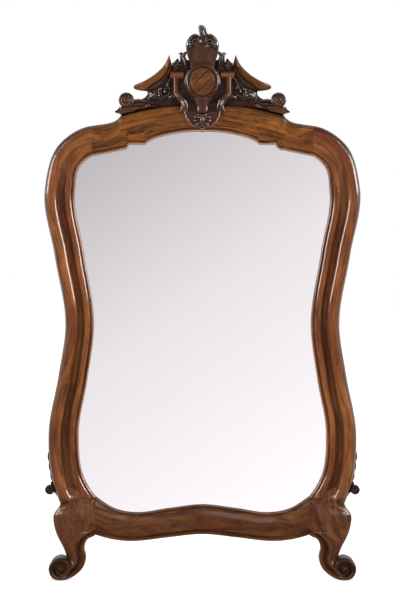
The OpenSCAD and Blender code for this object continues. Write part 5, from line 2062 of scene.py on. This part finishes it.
@dataclass
class PlainParts:
    """Nodes of the frame that keep their own shape and take a finish."""

    def build(self) -> None:
        """Dresses the nodes."""
        for finish, names in (
                (PINE, ("backboard_left", "backboard_middle", "backboard_right", "crest_blocks",
                        "glazing_blocks", "dowels_crest", "dowels_shoulder", "dowels_bottom_rail",
                        "dowels_foot")),
                (STEEL, ("backboard_screws", "hanger_left", "hanger_right", "hanger_screws")),
                (BRASS, ("ring_left", "ring_right"))):
            for name in names:
                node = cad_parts[name]
                if not node.material_slots:
                    node.data.materials.append(None)
                for place in node.material_slots:
                    place.material = finish.material()
                log.info("%s: %s", name, finish.name)


@dataclass
class Studio:
    """Camera in front of the mirror, lights, white surround and pale floor.

    The camera's numbers are in millimetres; the lights and the floor's reach are in metres.
    """

    middle_x: float = -7.2
    middle_z: float = 840
    distance: float = 5500
    lens: float = 110
    sensor: float = 36
    plane_depth: float = 50
    floor_reach: float = 60.0
    horizon: float = 0.905
    darker_up: float = 2.8
    paler_right: float = 1.9

    def camera(self) -> None:
        """Camera in front of the mirror, level and at its middle height."""
        data = bpy.data.cameras.new("camera")
        data.lens, data.sensor_width, data.clip_end = self.lens, self.sensor, 200
        camera = bpy.data.objects.new("camera", data)
        ahead = BACK_Y - self.plane_depth - self.distance
        camera.location = (self.middle_x * MM, ahead * MM, self.middle_z * MM)
        camera.rotation_euler = (math.radians(90), 0, 0)
        bpy.context.scene.collection.objects.link(camera)
        bpy.context.scene.camera = camera

    def light(self, name: str, place: Triple, aim: Triple, size: Pair, power: float) -> None:
        """Adds a rectangular light.

        Args:
            name: Its name, which holds the word gleam where it only shows as a gleam on polish.
            place: Where it stands, in metres.
            aim: What it is turned to.
            size: Its width and height.
            power: Its power in watts.
        """
        data = bpy.data.lights.new(name, "AREA")
        data.shape, data.energy = "RECTANGLE", power
        data.size, data.size_y = size
        lamp = bpy.data.objects.new(name, data)
        lamp.visible_glossy = "gleam" in name
        lamp.visible_diffuse = not lamp.visible_glossy
        lamp.location = place
        x, y, z = np.array(aim) - np.array(place)
        lamp.rotation_euler = (math.atan2(math.hypot(x, y), -z), 0, math.atan2(-x, y))
        bpy.context.scene.collection.objects.link(lamp)

    def world(self) -> None:
        """White behind the mirror, and a soft grey room with a pale horizon for its reflections."""
        world = bpy.data.worlds.new("surround")
        bpy.context.scene.world = world
        world.use_nodes = True
        world.node_tree.nodes.clear()
        nodes = Nodes(world.node_tree)
        way = nodes.add("ShaderNodeTexCoord", {}, {}, "Generated")
        side, depth, up = (nodes.add("ShaderNodeSeparateXYZ", {}, {0: way}, axis) for axis in "XYZ")
        haze = self.horizon - up * self.darker_up + side * self.paler_right
        haze = haze - (haze - 0.9).clamped() * 0.4
        ahead = nodes.blend(haze * 0.88, (0.0, 0.0, 0.0), (1.16, 1.12, 1.11))
        pale = nodes.blend(nodes.between(depth, -0.975, -0.90), ahead, (0.72, 0.70, 0.72))
        dim = nodes.blend(nodes.between(depth, 0.1, 0.5), (0.05, 0.05, 0.055), (0.95, 0.95, 0.95))
        sharp = nodes.add("ShaderNodeLightPath", {}, {}, "Is Singular Ray")
        seen = nodes.add("ShaderNodeLightPath", {}, {}, "Is Camera Ray")
        soft, white = (nodes.add("ShaderNodeBackground", {}, {"Color": colour, "Strength": 1.0})
                       for colour in (nodes.blend(sharp, dim, pale), (1.0, 1.0, 1.0)))
        shown = nodes.add("ShaderNodeMixShader", {}, {0: seen, 1: soft, 2: white})
        nodes.add("ShaderNodeOutputWorld", {}, {"Surface": shown})

    def floor(self) -> None:
        """Wide pale floor."""
        mesh = bpy.data.meshes.new("floor")
        reach = self.floor_reach
        corners = [(x * reach, y * reach, 0) for x, y in ((-1, -1), (1, -1), (1, 1), (-1, 1))]
        mesh.from_pydata(corners, [], [(0, 1, 2, 3)])
        mesh.materials.append(Floor().material())
        floor = bpy.data.objects.new("floor", mesh)
        floor.visible_glossy = False
        bpy.context.scene.collection.objects.link(floor)

    def build(self) -> None:
        """Sets the studio up."""
        self.camera()
        self.world()
        self.floor()
        self.light("key_left", (-2.5, -4.0, 2.6), (0, 0, 1.0), (2.0, 2.0), 75)
        self.light("key_right", (3.0, -3.5, 2.4), (0, 0, 1.0), (2.0, 2.0), 75)
        self.light("overhead", (0.0, -1.5, 4.0), (0, 0, 1.0), (2.4, 1.4), 40)
        self.light("back_fill", (0.5, 3.5, 2.6), (0, 0, 0.9), (2.5, 1.5), 50)
        for side, power in ((-1, 252), (1, 348)):
            self.light(f"gleam_{side}", (3.9 * side, -0.5, 2.25), (0.4 * side, 0, 1.2), (2.6, 1.4), power)
        self.light("crest_gleam", (0.5, -3.4, 3.3), (0, 0, 1.4), (0.8, 0.8), 16)
        for side in (-1, 1):
            self.light(f"carving_gleam_{side}", (2.6 * side, -2.2, 3.1), (0, 0, 1.5), (0.5, 1.1), 80)
        bpy.context.scene.view_settings.view_transform = "Standard"


def main() -> None:
    """Builds the studio and the mirror's pieces in order."""
    logging.basicConfig(level=logging.INFO, format="%(message)s")
    lines = Lines()
    work = FrameWork(lines)
    feet, leaves, crest = ScrollFeet(lines, work), SideScrolls(lines), Crest(lines)
    for group in (Studio(), work, feet, leaves, crest, Glazing(lines), PlainParts()):
        group.build()


if __name__ == "__main__":
    main()
